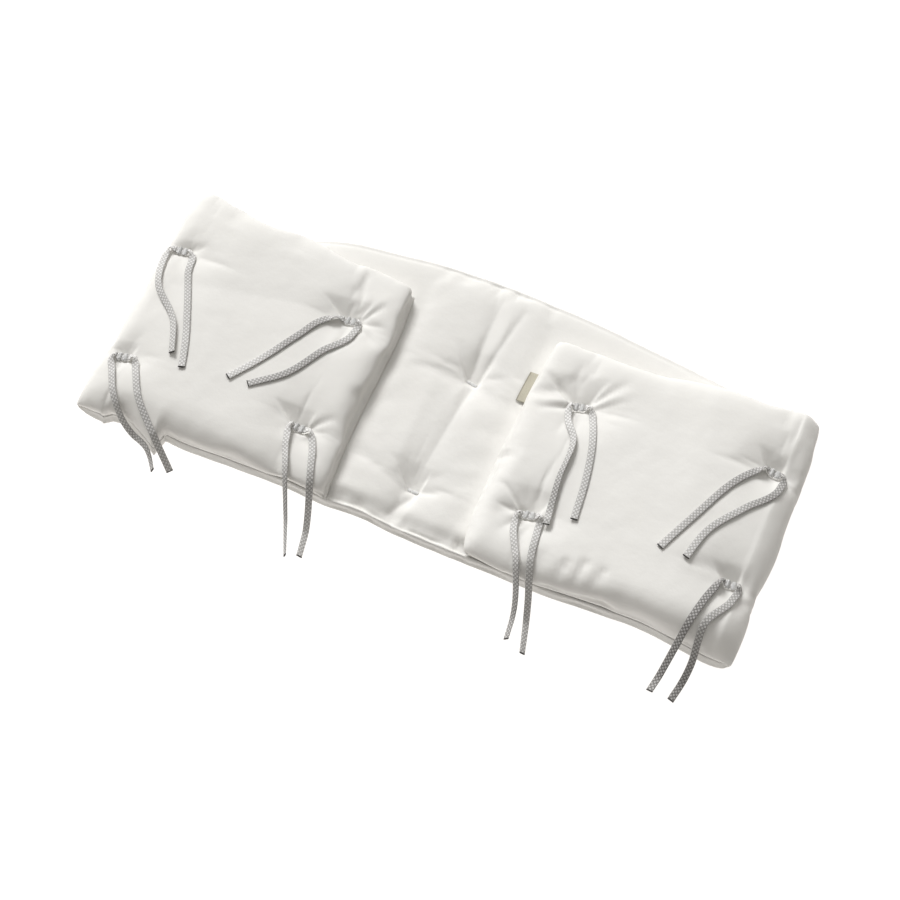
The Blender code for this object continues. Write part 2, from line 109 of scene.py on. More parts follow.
# Where a flap's front edge and the base's make one wall: from the first distance on, fully at the second,
# and round one more place on the right.
LEFT_WALL, RIGHT_WALL = (0.128, 0.152), (0.226, 0.244)
WALL_BETWEEN, BETWEEN_REACH, BETWEEN_SHARE = 0.150, 0.016, 0.9
WALL_OUTER, WALL_INNER = 0.009, 0.020  # how far in from the seam the two faces are drawn there
WALL_GAP = 0.0003


def table(columns, *rows):
    """A table as one array for each of its named columns."""
    return {name: np.array([row[i] for row in rows]) for i, name in enumerate(columns.split())}


BASE = table(
    "x front back top",
    (-0.347, -0.119, 0.163, 0.0205),
    (-0.310, -0.114, 0.152, 0.0220),
    (-0.247, -0.117, 0.158, 0.0225),
    (-0.189, -0.115, 0.1765, 0.0225),
    (-0.130, -0.114, 0.185, 0.0225),
    (-0.084, -0.116, 0.191, 0.0225),
    (-0.045, -0.114, 0.193, 0.0225),
    (-0.004, -0.117, 0.194, 0.0225),
    (0.050, -0.118, 0.192, 0.0225),
    (0.106, -0.118, 0.189, 0.0225),
    (0.165, -0.118, 0.1825, 0.0225),
    (0.222, -0.115, 0.176, 0.0230),
    (0.266, -0.113, 0.170, 0.0240),
    (0.310, -0.117, 0.160, 0.0240),
    (0.342, -0.121, 0.161, 0.0230),
)
LEFT_FLAP = table(
    "x front back padding",
    (-0.347, -0.113, 0.162, 0.0125),
    (-0.311, -0.105, 0.156, 0.0135),
    (-0.270, -0.1105, 0.150, 0.0140),
    (-0.240, -0.112, 0.152, 0.0140),
    (-0.180, -0.112, 0.144, 0.0145),
    (-0.120, -0.113, 0.140, 0.0145),
    (-0.089, -0.116, 0.138, 0.0140),
)
RIGHT_FLAP = table(
    "x front back padding",
    (0.069, -0.115, 0.141, 0.0150),
    (0.121, -0.118, 0.141, 0.0160),
    (0.167, -0.117, 0.144, 0.0170),
    (0.200, -0.115, 0.148, 0.0180),
    (0.233, -0.113, 0.153, 0.0190),
    (0.270, -0.112, 0.155, 0.0200),
    (0.310, -0.1115, 0.156, 0.0195),
    (0.342, -0.1065, 0.1605, 0.0170),
)
# The two folds' outermost lines and the two flaps' free ends, by their distance across the strip.
ACROSS = table(
    "y left_fold left_end right_end right_fold",
    (-0.118, -0.3715, -0.083, 0.076, 0.3670),
    (-0.095, -0.3730, -0.085, 0.070, 0.3690),
    (-0.050, -0.3690, -0.088, 0.067, 0.3685),
    (0.000, -0.3705, -0.089, 0.066, 0.3725),
    (0.050, -0.3700, -0.089, 0.067, 0.3710),
    (0.090, -0.3700, -0.090, 0.068, 0.3710),
    (0.140, -0.3685, -0.096, 0.073, 0.3675),
    (0.165, -0.3600, -0.099, 0.078, 0.3605),
)
# Pointed puckers that the base's front seam makes beside the left fold.
PUCKERS = table("x reach left right", (-0.3415, 0.005, 0.010, 0.008), (-0.2750, 0.020, 0.045, 0.004))
# Each tie: where it is sewn through, which way it is turned in degrees, the pinch it makes, and the slope
# behind it, which falls by its drop over its length and opens to the left and to the right.
TIES = table(
    "x y turn depth radius long drop left right",
    (-0.349, 0.0835, 8, 0.0075, 0.026, 0.014, 0.0035, 0.5, 0.9),
    (-0.3475, -0.0600, 10, 0.0070, 0.024, 0.017, 0.0035, 0.3, 0.5),
    (-0.141, 0.0755, 12, 0.0100, 0.030, 0.026, 0.0055, 1.1, 0.6),
    (-0.137, -0.0625, 2, 0.0095, 0.030, 0.022, 0.0055, 1.4, 0.2),
    (0.124, 0.0765, 14, 0.0115, 0.032, 0.036, 0.0070, 1.0, 0.7),
    (0.123, -0.0595, 7, 0.0105, 0.030, 0.030, 0.0065, 1.1, 0.6),
    (0.339, 0.0845, 0, 0.0095, 0.027, 0.022, 0.0055, 0.9, 0.1),
    (0.339, -0.0495, 8, 0.0095, 0.027, 0.020, 0.0055, 0.9, 0.1),
)
TACKS = {"tack_back": (0.0040, 0.0710, -6), "tack_front": (-0.0025, -0.0710, -2)}  # x, y and turn
# Each pinch on a face of the strip, by the ties and by the tacks, which draw in both faces of the base.
TUFTS = table(
    "face x y depth radius",
    *(("top", *row) for row in zip(*(TIES[column] for column in ("x", "y", "depth", "radius")))),
    ("inside", 0.004, 0.0710, 0.0080, 0.030),
    ("inside", -0.004, -0.0710, 0.0080, 0.030),
    ("under", 0.004, 0.0710, 0.0050, 0.022),
    ("under", -0.004, -0.0710, 0.0050, 0.022),
)
print("folded strip", round(ACROSS["right_fold"].max() - ACROSS["left_fold"].min(), 3), "m across")

# %% [markdown]
# ## One cross-section of the pad
#
# Cut the folded strip anywhere across and the same shape comes out: a seam at the front, a seam at the
# back, and padding that swells between them. One function makes it, for the base, for the flaps and for
# every angle of the folds in between, and the whole pad is a row of such cuts. A box or a plain cushion
# would be quicker, but the folds, the slanted ends and the pinches would then have to be sculpted by hand.
# Towards the folds the two layers' front edges are pressed together, so they are drawn onto one line.

# %% Curves


def along(rows, column, x, by="x"):
    """One column of a table at x, in a smooth curve through its rows."""
    knots, values = rows[by], rows[column]
    slopes = np.gradient(values, knots)
    i = np.clip(np.searchsorted(knots, x) - 1, 0, len(knots) - 2)
    step = knots[i + 1] - knots[i]
    t = np.clip((x - knots[i]) / step, 0.0, 1.0)
    start = (1 + 2 * t) * (1 - t) ** 2 * values[i] + t * (1 - t) ** 2 * step * slopes[i]
    return start + t * t * (3 - 2 * t) * values[i + 1] - t * t * (1 - t) * step * slopes[i + 1]


def round_off(distance, radius=EDGE_RADIUS):
    """How full the padding is at this distance from its seam: 0 on the seam, 1 past the radius."""
    inward = np.clip(distance / radius, 0.0, 1.0)
    return np.sqrt(1 - (1 - inward) ** 2)


def roll_out(distance, radius=EDGE_RADIUS):
    """How far the outer face leans out at this distance from the seam, as a share of the swell."""
    return np.sin(math.pi * np.clip(distance / radius, 0.0, 1.0))


print("half-way through the edge the padding is", round(float(round_off(EDGE_RADIUS / 2)), 2), "full")

# %% [markdown]
# ## Pinches and edges
#
# Where a tie or a tack is sewn through, the padding dips to the stitches, as at the buttons of a mattress.
# A dip could be sculpted, but as a function of the distance from the stitching it can be taken from any
# face at any angle of a fold. The seams get their puckers here, and the place where they meet.

# %% Pinches and edges


def pinch(face, x, y):
    """How far the sewn-through places of a face press it in at x, y."""
    depth = np.zeros(np.broadcast(x, y).shape)
    for i in np.flatnonzero(TUFTS["face"] == face):
        away = np.hypot(x - TUFTS["x"][i], y - TUFTS["y"][i]) / TUFTS["radius"][i]
        depth = depth + TUFTS["depth"][i] * np.exp(-(away**1.5) * 1.6)
    return depth


def base_front(x):
    """The base's front seam, with its pointed puckers."""
    y = along(BASE, "front", x)
    for at, reach, left, right in zip(*PUCKERS.values()):
        y = y - reach * max(0.0, 1 - (at - x) / left if x < at else 1 - (x - at) / right)
    return y


def base_top(x, y):
    """The height of the base's upper face, without its pinches."""
    edge = np.minimum(y - along(BASE, "front", x), along(BASE, "back", x) - y)
    return SEAM_HEIGHT + (along(BASE, "top", x) - SEAM_HEIGHT) * round_off(edge)


def one_wall(side, x):
    """How far a flap's front edge is drawn down onto the base's at x: 1 towards the folds, else 0."""
    start, full = LEFT_WALL if side < 0 else RIGHT_WALL
    share = min(1.0, max(0.0, (abs(x) - start) / (full - start)))
    between = BETWEEN_SHARE * math.exp(-(((x - WALL_BETWEEN) / BETWEEN_REACH) ** 2))
    return max(between, share * share * (3 - 2 * share))


print("the base is", round(1000 * float(base_top(0.0, 0.0)), 1), "mm high in the middle")

# %% [markdown]
# ## A cut
#
# The cut itself: padding above and below a seam line, turned about the fold. In a fold the whole cut turns
# like the page of a book, and on a flap it lies upside down, so one function serves the whole strip.

# %% Cross-section


def cross_section(side, x, turn, from_end, spread):
    """The outer and the inner face of the strip at one cut, and each point's distance from the seam.

    turn is how far the fold has turned there: 0 on the base, pi on a flap. spread says where the
    points lie between the two long seams.
    """
    flap, name = (LEFT_FLAP, "left") if side < 0 else (RIGHT_FLAP, "right")
    share = (1 - math.cos(turn)) / 2
    front = base_front(x) * (1 - share) + along(flap, "front", x) * share
    back = along(BASE, "back", x) * (1 - share) + along(flap, "back", x) * share
    y = spread(front, back)
    edge = np.minimum(y - front, back - y)
    full = round_off(edge) * round_off(from_end, END_RADIUS)
    crown = 1 - CROWN * ((2 * y - front - back) / (back - front)) ** 2

    lining = along(BASE, "top", x) - SEAM_HEIGHT
    below = (lining * (1 - share) + FLAP_LINING * share) * full * crown
    padding = along(flap, "padding", x)
    above = SEAM_HEIGHT * (1 - share) * full + padding * share * full * crown
    seat = base_top(x, y) + LAYER_GAP + FLAP_LINING * np.maximum(full * crown, EDGE_SEAT)
    height = SEAM_HEIGHT * (1 - share) + seat * share

    out = math.sin(turn)
    reach = np.abs(along(ACROSS, name + "_fold", y, "y") - x) - above
    plan_x = x + side * out * reach
    if turn == math.pi:
        end_line = along(ACROSS, name + "_end", y, "y") - along(ACROSS, name + "_end", 0.0, "y")
        plan_x = x + end_line * max(0.0, 1 - from_end / END_SLANT) ** 2

    lean = EDGE_SWELL * roll_out(edge) * round_off(from_end, END_RADIUS)
    outward = np.where(y - front < back - y, -1, 1) * lean
    end_lean = -side * 0.5 * EDGE_SWELL * roll_out(from_end, END_RADIUS) * (turn == math.pi)
    outer_x, outer_y = plan_x + side * out * above + end_lean * full, y + outward
    outer_z = height - math.cos(turn) * above
    inner_x, inner_z = plan_x - side * out * below, height + math.cos(turn) * below

    outer_z = outer_z - max(0.0, -math.cos(turn)) * full * pinch("top", outer_x, outer_y)
    if turn == 0.0:
        outer_z = outer_z + full * pinch("under", outer_x, outer_y) * (full > 0.99)
        inner_z = inner_z - full * pinch("inside", inner_x, y)

    # The edges meet: the outer face only close to the seam, the hidden inner one further in.
    meet = one_wall(side, x) * (y < 0.0)
    near, far = (meet * np.exp(-((edge / reach) ** 2)) for reach in (WALL_OUTER, WALL_INNER))
    seam = SEAM_HEIGHT + WALL_GAP * (2 * share - 1)
    outer_y, inner_y = outer_y + (base_front(x) - front) * near, y + (base_front(x) - front) * far
    outer_z, inner_z = outer_z + (seam - height[0]) * near, inner_z + (seam - inner_z) * far

    # A flap's free end comes down onto the base, and the right fold has a flat slanting side.
    settle = SETTLE * (turn == math.pi) * math.exp(-((from_end / SETTLE_REACH) ** 2))
    outer_z, inner_z = outer_z - settle, inner_z - settle
    if side > 0:
        outer_z = outer_z - SLANT * max(0.0, math.sin(2 * (math.pi - turn))) * full
    outer = np.stack([outer_x, outer_y, np.maximum(outer_z, 0.0)], axis=1)
    inner = np.stack([inner_x, inner_y, inner_z], axis=1)
    return outer, inner, np.minimum(edge, from_end)


middle_cut = cross_section(1, 0.0, 0.0, 1.0, lambda front, back: np.linspace(front, back, 9))
print("the middle cut is", round(float(np.ptp(middle_cut[0][:, 1])), 3), "m long")

# %% [markdown]
# ## The cuts along the strip
#
# The cuts stand closer together near the free ends, in the folds and on the stretch of base that shows.
# Every second cut and every second row make the coarse net for the cloth solver, and all of them make the
# fine one that is shown.

# %% The net
NEAR = np.array([0.0, 0.0009, 0.0022, 0.0044, 0.0078, 0.0125, 0.0185, 0.0250])  # from a seam
AFTER = 0.031  # the next step
CROWD_REACH = 0.020  # round a sewn-through place
MIDDLE_ROWS, FLAP_CUTS, SHOWN_CUTS, TURN_STEPS = 41, 46, 36, 26
MARGIN = 0.02  # of the base under each flap that is cut as closely as the stretch that shows


def halved(steps):
    """The same steps with one more half-way between each two."""
    steps = np.asarray(steps, float)
    return np.insert(steps, np.arange(1, len(steps)), (steps[1:] + steps[:-1]) / 2)


def crowded(start, end, count, near):
    """Steps from start to end, closer together round the sewn-through places."""
    at = np.linspace(start, end, 400)
    close = 1 + 2 * sum(np.exp(-(((at - place) / CROWD_REACH) ** 2)) for place in near)
    total = np.concatenate([[0], np.cumsum(close[1:] + close[:-1])])
    return np.interp(np.linspace(0, total[-1], count), total, at)


def spread_rows(front, back):
    """The rows between the two long seams."""
    middle = crowded(front + AFTER, back - AFTER, MIDDLE_ROWS, (-0.058, 0.080))
    return halved(np.concatenate([front + NEAR, middle, (back - NEAR)[::-1]]))


def strip_cuts():
    """Every cut, as its side, its x, how far the fold has turned and its distance from the free end."""
    ends = {side: along(ACROSS, f"{side}_end", 0.0, "y") for side in ("left", "right")}
    left = along(ACROSS, "left_fold", 0.0, "y") + FOLD_REACH
    right = along(ACROSS, "right_fold", 0.0, "y") - FOLD_REACH

    def flap(side, end, fold):
        length = abs(fold - end)
        steps = halved([*NEAR, *crowded(AFTER, length, FLAP_CUTS, (0.054, length))])
        return [(side, end + side * step, math.pi, step) for step in steps]

    def turns(side, fold):
        return [(side, fold, angle, 1.0) for angle in np.linspace(math.pi, 0, TURN_STEPS)[1:-1]]

    shown_from, shown_to = ends["left"] - MARGIN, ends["right"] + MARGIN
    hidden_left = np.linspace(left, shown_from, 18)[:-1]
    shown = crowded(shown_from, shown_to, SHOWN_CUTS, (0.0,))
    hidden_right = np.linspace(shown_to, right, 16)[1:]
    puckers = [
        at + shift
        for at, before, after in zip(PUCKERS["x"], PUCKERS["left"], PUCKERS["right"])
        for shift in (-before, -before / 2, -after, 0.0, after / 2, after)
        if at + shift > left + 0.001
    ]
    places = halved(sorted([*hidden_left, *puckers, *shown, *hidden_right]))
    base = [(1 if x > 0 else -1, x, 0.0, 1.0) for x in places]
    cuts = flap(-1, ends["left"], left) + turns(-1, left) + base
    return cuts + turns(1, right)[::-1] + flap(1, ends["right"], right)[::-1]


cuts = strip_cuts()
if len(cuts) % 2 == 0:
    raise ValueError("the coarse net needs an odd number of cuts")
sections = [cross_section(*cut, spread_rows) for cut in cuts]
outer = np.array([section[0] for section in sections])
inner = np.array([section[1] for section in sections])
seam_distance = np.array([section[2] for section in sections])
turned = np.array([cut[2] for cut in cuts])
print("fine net", outer.shape[:2], "coarse net", outer[::2, ::2].shape[:2])

# %% [markdown]
# ## A closed net
#
# The cover is two faces of cloth sewn together all round. As a mesh that is two skins, each a grid of cuts
# and rows, which share the points of the seam. Built like this the seam can't open, whatever moves later.

# %% A closed net


def read_points(mesh, what="co"):
    """The place, or the normal, of every point of a mesh."""
    values = np.empty(len(mesh.vertices) * 3)
    mesh.vertices.foreach_get(what, values)
    return values.reshape(-1, 3)


def face_outwards(mesh):
    """Turn all faces of a closed mesh outwards."""
    work = bmesh.new()
    work.from_mesh(mesh)
    bmesh.ops.recalc_face_normals(work, faces=work.faces)
    work.to_mesh(mesh)
    work.free()


def skins_mesh(name, outside, inside):
    """A closed mesh of two skins that share the points of the seam round their edge."""
    cut_count, row_count = outside.shape[:2]
    outer_index = np.arange(cut_count * row_count).reshape(cut_count, row_count)
    inner_index = outer_index.copy()
    inner_index[1:-1, 1:-1] = outer_index.size + np.arange((cut_count - 2) * (row_count - 2)).reshape(
        cut_count - 2, row_count - 2
    )
    points = np.concatenate([outside.reshape(-1, 3), inside[1:-1, 1:-1].reshape(-1, 3)])
    quads = []
    for index, order in ((outer_index, (0, 3, 2, 1)), (inner_index, (0, 1, 2, 3))):
        corners = np.stack([index[:-1, :-1], index[1:, :-1], index[1:, 1:], index[:-1, 1:]], axis=-1)
        quads.append(corners.reshape(-1, 4)[:, order])
    mesh = bpy.data.meshes.new(name)
    mesh.from_pydata((points + MIDDLE).tolist(), [], np.concatenate(quads).tolist())
    face_outwards(mesh)
    return mesh, outer_index, inner_index


def linked(name, mesh):
    """A new object in the scene."""
    made = bpy.data.objects.new(name, mesh)
    bpy.context.scene.collection.objects.link(made)
    return made


print("two skins of", outer.shape[0], "by", outer.shape[1], "points")

# %% [markdown]
# ## Puffing up the pad
#
# A sewn cover is flat cloth that the filling pushes out between the places where it is held. Blender's
# cloth solver does that with a pressure inside a closed mesh. The seams, the sewn-through places and all
# that touches another layer are pinned, the cloth is let out by two hundredths so that it puckers where it is
# held, and gravity is off because the filling carries it. The solver works on the coarse net, and only
# how far each point moved is kept, capped at a few millimetres, so that the layers stay apart.

# %% Cloth solver
PRESSURE = 4.0
LET_OUT = 0.02
FRAMES = 20
MOST_MOVED = 0.0040
HELD_RADIUS = 0.008  # round each sewn-through place
SEAM_LINE = 0.0005  # how near a point is to the seam to be on it
FLAP_FROM, BASE_TO = 3.1, 0.6  # the turn of a cut where a flap begins, and where the base ends
UNDERSIDE_TO, TOP_FROM = 0.004, 0.03  # heights of the outer face where it lies down, and where it is on top
SHOWN_STRETCH = (-0.080, 0.058)  # of the base, clear of both flaps


def held_points(outside, inside, distance, turn):
    """Which points of the two skins the solver may not move."""
    near_tuft = {}
    for face, skin in (("top", outside), ("inside", inside)):
        near_tuft[face] = np.zeros(skin.shape[:2], bool)
        for i in np.flatnonzero(TUFTS["face"] == face):
            away = np.hypot(skin[..., 0] - TUFTS["x"][i], skin[..., 1] - TUFTS["y"][i])
            near_tuft[face] |= away < HELD_RADIUS
    on_seam = distance < SEAM_LINE
    flap = (turn > FLAP_FROM)[:, None]
    under = (turn < BASE_TO)[:, None] & (outside[..., 2] < UNDERSIDE_TO)
    shown = (inside[..., 0] > SHOWN_STRETCH[0]) & (inside[..., 0] < SHOWN_STRETCH[1])
    shown &= (turn == 0.0)[:, None]
    held_outer = on_seam | under | (near_tuft["top"] & (flap | (outside[..., 2] > TOP_FROM)))
    held_inner = on_seam | ~shown | near_tuft["inside"]
    return held_outer, held_inner


def puffed(outside, inside, distance, turn):
    """How far the cloth solver moves each point of the two skins."""
    mesh, outer_index, inner_index = skins_mesh("cloth_net", outside, inside)
    net = linked("cloth_net", mesh)
    held_outer, held_inner = held_points(outside, inside, distance, turn)
    held = set(outer_index[held_outer].tolist()) | set(inner_index[held_inner].tolist())
    group = net.vertex_groups.new(name="held")
    group.add(sorted(held), 1.0, "REPLACE")
    cloth = net.modifiers.new("cloth", "CLOTH")
    cloth.settings.quality = 6
    cloth.settings.mass = 0.15
    cloth.settings.vertex_group_mass = "held"
    cloth.settings.use_pressure = True
    cloth.settings.uniform_pressure_force = PRESSURE
    cloth.settings.shrink_min = -LET_OUT
    cloth.settings.bending_stiffness = 0.3
    cloth.settings.effector_weights.gravity = 0.0
    cloth.collision_settings.use_collision = False
    cloth.collision_settings.use_self_collision = False
    cloth.point_cache.frame_start, cloth.point_cache.frame_end = 1, FRAMES
    for number in range(1, FRAMES + 1):
        bpy.context.scene.frame_set(number)
    moved = net.evaluated_get(bpy.context.evaluated_depsgraph_get()).to_mesh()
    points = read_points(moved) - MIDDLE
    bpy.context.scene.frame_set(1)
    bpy.data.objects.remove(net, do_unlink=True)
    shifts = [points[outer_index] - outside, points[inner_index] - inside]
    shifts[1][[0, -1]] = shifts[1][:, [0, -1]] = 0.0
    return shifts


def capped(shift):
    """Shifts no longer than the cap, approached softly."""
    length = np.linalg.norm(shift, axis=-1, keepdims=True)
    return shift * (MOST_MOVED * np.tanh(length / MOST_MOVED) / np.maximum(length, 1e-9))


def smoothed(field, passes=1):
    """The field with each point drawn towards its neighbours."""
    for _ in range(passes):
        middle = field[1:-1, 1:-1]
        around = field[:-2, 1:-1] + field[2:, 1:-1] + field[1:-1, :-2] + field[1:-1, 2:]
        field = field.copy()
        field[1:-1, 1:-1] = 0.5 * middle + 0.125 * around
    return field


def between(coarse, count):
    """A coarse field brought to the fine net, through one axis after the other."""
    fine = np.empty((count[0], coarse.shape[1], 3))
    fine[::2] = coarse
    fine[1::2] = (coarse[1:] + coarse[:-1]) / 2
    full = np.empty((*count, 3))
    full[:, ::2] = fine
    full[:, 1::2] = (fine[:, 1:] + fine[:, :-1]) / 2
    return full


# %% [markdown]
# ## Letting the cloth move
#
# What it gives is smoothed twice, on the coarse net and on the fine one, because every second point of the
# fine net is only half-way between two that were solved.

# %% Padding
coarse = (outer[::2, ::2], inner[::2, ::2], seam_distance[::2, ::2], turned[::2])
shifts = [between(smoothed(capped(shift)), outer.shape[:2]) for shift in puffed(*coarse)]
outer, inner = outer + smoothed(shifts[0]), inner + smoothed(shifts[1])
outer[..., 2] = np.maximum(outer[..., 2], 0.0)
print("moved by up to", round(1000 * np.linalg.norm(shifts[0], axis=-1).max(), 1), "mm")
print("padding ready")

# %% [markdown]
# ## Creases, seam and gathers
#
# What the solver cannot know is put in afterwards: the long creases that run out of the sewn-through
# places, the slope behind each of them, the way the faces sag just inside their front seam, the thin ridge
# where the two faces are sewn together, and the small gathers that a seam makes. Creases are troughs along
# straight lines. The ridge and the gathers move the surface along its normal, by how far a point is from
# the seam and where it lies on the unrolled strip.

# %% Creases
CREASES = table(
    "face x0 y0 x1 y1 depth width",
    ("inside", 0.000, 0.074, -0.003, 0.175, 0.0030, 0.008),
    ("inside", 0.010, 0.072, 0.025, 0.168, 0.0030, 0.004),
    ("inside", 0.016, 0.110, 0.012, 0.160, -0.0015, 0.008),
    ("inside", 0.007, 0.060, -0.003, -0.064, 0.0025, 0.007),
    ("inside", -0.034, 0.060, -0.030, -0.070, -0.0015, 0.014),
    ("inside", 0.001, -0.078, -0.017, -0.108, 0.0035, 0.005),
    ("inside", 0.004, -0.071, 0.022, -0.068, 0.0020, 0.003),
    ("inside", -0.012, -0.074, -0.043, -0.065, 0.0020, 0.008),
    ("top", 0.131, 0.080, 0.160, 0.117, 0.0040, 0.0035),
    ("top", 0.137, 0.081, 0.172, 0.112, -0.0020, 0.005),
    ("top", 0.135, 0.076, 0.164, 0.096, 0.0025, 0.0035),
    ("top", 0.116, 0.073, 0.086, 0.058, 0.0035, 0.0035),
    ("top", 0.114, 0.078, 0.080, 0.066, -0.0020, 0.0045),
    ("top", 0.112, 0.086, 0.082, 0.106, -0.0015, 0.0045),
    ("top", 0.115, -0.060, 0.090, -0.060, 0.0035, 0.0035),
    ("top", 0.115, -0.065, 0.102, -0.084, 0.0025, 0.004),
    ("top", 0.112, -0.050, 0.084, -0.030, -0.0015, 0.0045),
    ("top", -0.133, 0.079, -0.114, 0.104, 0.0040, 0.0035),
    ("top", -0.134, 0.084, -0.112, 0.118, -0.0015, 0.005),
    ("top", -0.132, 0.077, -0.108, 0.081, 0.0030, 0.0035),
    ("top", -0.128, 0.070, -0.106, 0.060, 0.0015, 0.0035),
    ("top", -0.130, -0.061, -0.108, -0.040, 0.0040, 0.0035),
    ("top", -0.129, -0.063, -0.108, -0.057, 0.0025, 0.0035),
    ("top", -0.124, -0.073, -0.092, -0.094, 0.0020, 0.0035),
    ("top", -0.342, 0.086, -0.328, 0.096, 0.0030, 0.0035),
    ("top", -0.340, -0.059, -0.326, -0.064, 0.0020, 0.004),
    ("top", -0.325, 0.045, -0.162, 0.078, 0.0018, 0.020),
    ("top", 0.325, 0.085, 0.300, 0.085, 0.0012, 0.0025),
    ("top", 0.333, -0.044, 0.305, -0.040, 0.0015, 0.005),
    ("top", 0.350, 0.084, 0.366, 0.082, 0.0040, 0.014),
    ("top", 0.350, -0.048, 0.366, -0.050, 0.0040, 0.014),
    ("top", 0.1790, -0.096, 0.1735, -0.112, 0.0036, 0.0040),
    ("top", 0.1965, -0.089, 0.1920, -0.112, 0.0038, 0.0035),
    ("top", 0.2175, -0.090, 0.2090, -0.112, 0.0028, 0.0040),
    ("top", 0.1520, -0.098, 0.1510, -0.110, 0.0014, 0.006),
)
# A sewn-through place lies at the foot of a slope as wide as its stitching, which fans out to both sides.
SLOPES = table(
    "face x y turn long drop left right",
    *(("top", *row) for row in zip(*(TIES[name] for name in "x y turn long drop left right".split()))),
    ("inside", *TACKS["tack_back"], 0.036, 0.0036, 1.0, 0.1),
    ("inside", *TACKS["tack_front"], 0.028, 0.0045, 1.2, 0.1),
)
SLOPE_WIDTH, SLOPE_EDGE = 0.0070, 0.0035  # half a slope's width at its foot, and how soft its sides are
SLOPE_FRONT = 0.007  # how soon it ends in front of the stitching
DROOP_LEFT, DROOP_RIGHT = 0.0042, 0.0088  # how much lower the faces lie just inside their front seam
DROOP_REACH = 0.0145
print(len(CREASES["x0"]), "creases and", len(SLOPES["x"]), "slopes")

# %% [markdown]
# ## Pressing the creases in
#
# A crease is deepest where it starts, at the stitching, and dies away. It could be carved with a brush, but
# a trough that is worked out stays the same in every run. It presses straight down and fades out at the
# seam, so the edge keeps its thickness.

# %% Pressing in
SEAM_RIDGE = 0.0015  # how far the sewn edge stands out
SEAM_WAVE = 0.0007  # how far the seam line wanders up and down
GATHERS = 0.0007  # how deep the small folds beside a seam are
LUMPS = 0.0006  # of the filling, on the open faces


def crease(face, x, y):
    """How far the creases of a face press it in at x, y."""
    depth = np.zeros(np.broadcast(x, y).shape)
    for i in np.flatnonzero(CREASES["face"] == face):
        start = np.array([CREASES["x0"][i], CREASES["y0"][i]])
        run = np.array([CREASES["x1"][i], CREASES["y1"][i]]) - start
        share = ((x - start[0]) * run[0] + (y - start[1]) * run[1]) / (run @ run)
        inside = np.clip(share, 0.0, 1.0)
        away = np.hypot(x - start[0] - inside * run[0], y - start[1] - inside * run[1])
        fade = np.sqrt(np.clip(1.15 - inside, 0.0, 1.0))
        depth = depth + CREASES["depth"][i] * fade * np.exp(-((away / CREASES["width"][i]) ** 1.4))
    return depth


def slope(face, x, y):
    """How far the slopes behind the sewn-through places press a face in, beyond the pinches' own depth."""
    depth = np.zeros(np.broadcast(x, y).shape)
    for i in np.flatnonzero(SLOPES["face"] == face):
        turn = math.radians(SLOPES["turn"][i])
        dx, dy = x - SLOPES["x"][i], y - SLOPES["y"][i]
        u, v = dx * math.cos(turn) + dy * math.sin(turn), dy * math.cos(turn) - dx * math.sin(turn)
        fall = np.clip(np.where(v > 0, 1 - v / SLOPES["long"][i], 1 + v / SLOPE_FRONT), 0.0, 1.0)
        fan = np.where(u < 0, SLOPES["left"][i], SLOPES["right"][i])
        open_by = SLOPE_WIDTH + np.maximum(v, 0.0) * fan
        inside = np.clip((open_by - np.abs(u)) / SLOPE_EDGE + 0.5, 0.0, 1.0)
        soft = np.exp(-1.6 * (np.hypot(dx, dy) / 0.028) ** 1.5)
        depth = depth + SLOPES["drop"][i] * (fall * inside * inside * (3 - 2 * inside) - 0.8 * soft)
    return depth


def noise_over(u, v, layer):
    """Smooth noise from -1 to 1 at every u, v, which are in waves."""
    flat = zip(np.broadcast_to(u, v.shape).ravel(), v.ravel())
    values = [noise.noise(Vector((a, b, layer))) for a, b in flat]
    return np.array(values).reshape(v.shape)


def pressed(face, skin):
    """How far a face is pressed in by its creases, its slopes and the droop at its front seam."""
    x, y = skin[..., 0], skin[..., 1]
    droop = np.where(x < 0.06, DROOP_LEFT, DROOP_RIGHT) * (y < 0.0)
    droop = droop * np.exp(-((seam_distance / DROOP_REACH) ** 4))
    return full * (crease(face, x, y) + slope(face, x, y) + droop)


full = round_off(seam_distance)
outer[..., 2] -= np.maximum(0.0, -np.cos(turned))[:, None] * pressed("top", outer)
inner[..., 2] -= (turned == 0.0)[:, None] * pressed("inside", inner)

print("pressed in by up to", round(1000 * float(pressed("top", outer).max()), 1), "mm")

# %% [markdown]
# ## The seam and the filling
#
# The sewn edge is a thin ridge, and the cloth beside it is gathered, because the seam is a little shorter
# than the cloth. Smooth noise makes the gathers and the lumps of the filling. It is read on the unrolled
# strip, as if it had been in the cloth before it was folded, so that it runs on through the folds.

# %% Seam and filling
RIDGE_WIDTH = 0.0010
GROOVE_AT, GROOVE_WIDTH, GROOVE_SHARE = 0.0034, 0.0018, 0.4  # beside the ridge, as a share of it
RIDGE_LOST = 0.9  # of the ridge, where two seams are pressed together
GATHERS_FROM, GATHERS_REACH = 0.003, 0.012  # from the seam
ALONG_SEAM, AWAY_FROM_SEAM = 95, 16  # gathers to a metre
BIG_LUMPS, SMALL_LUMPS, SMALL_SHARE = 26, 70, 0.4  # lumps to a metre
WANDER_WAVES, WANDER_REACH = 75, 0.004  # of the seam line, to a metre, and how far in they are felt
OPEN_FROM, OPEN_FADE = 0.003, 0.006  # the height over which the outer face comes clear of the surface
OPEN_STRETCH, STRETCH_FADE = (-0.085, 0.063), 0.008  # where the inner face comes out from under the flaps
middle_row = outer[:, outer.shape[1] // 2]
unrolled = np.concatenate([[0], np.cumsum(np.linalg.norm(np.diff(middle_row, axis=0), axis=1))])
along_strip = np.repeat(unrolled[:, None], outer.shape[1], axis=1)
across_strip = outer[..., 1]
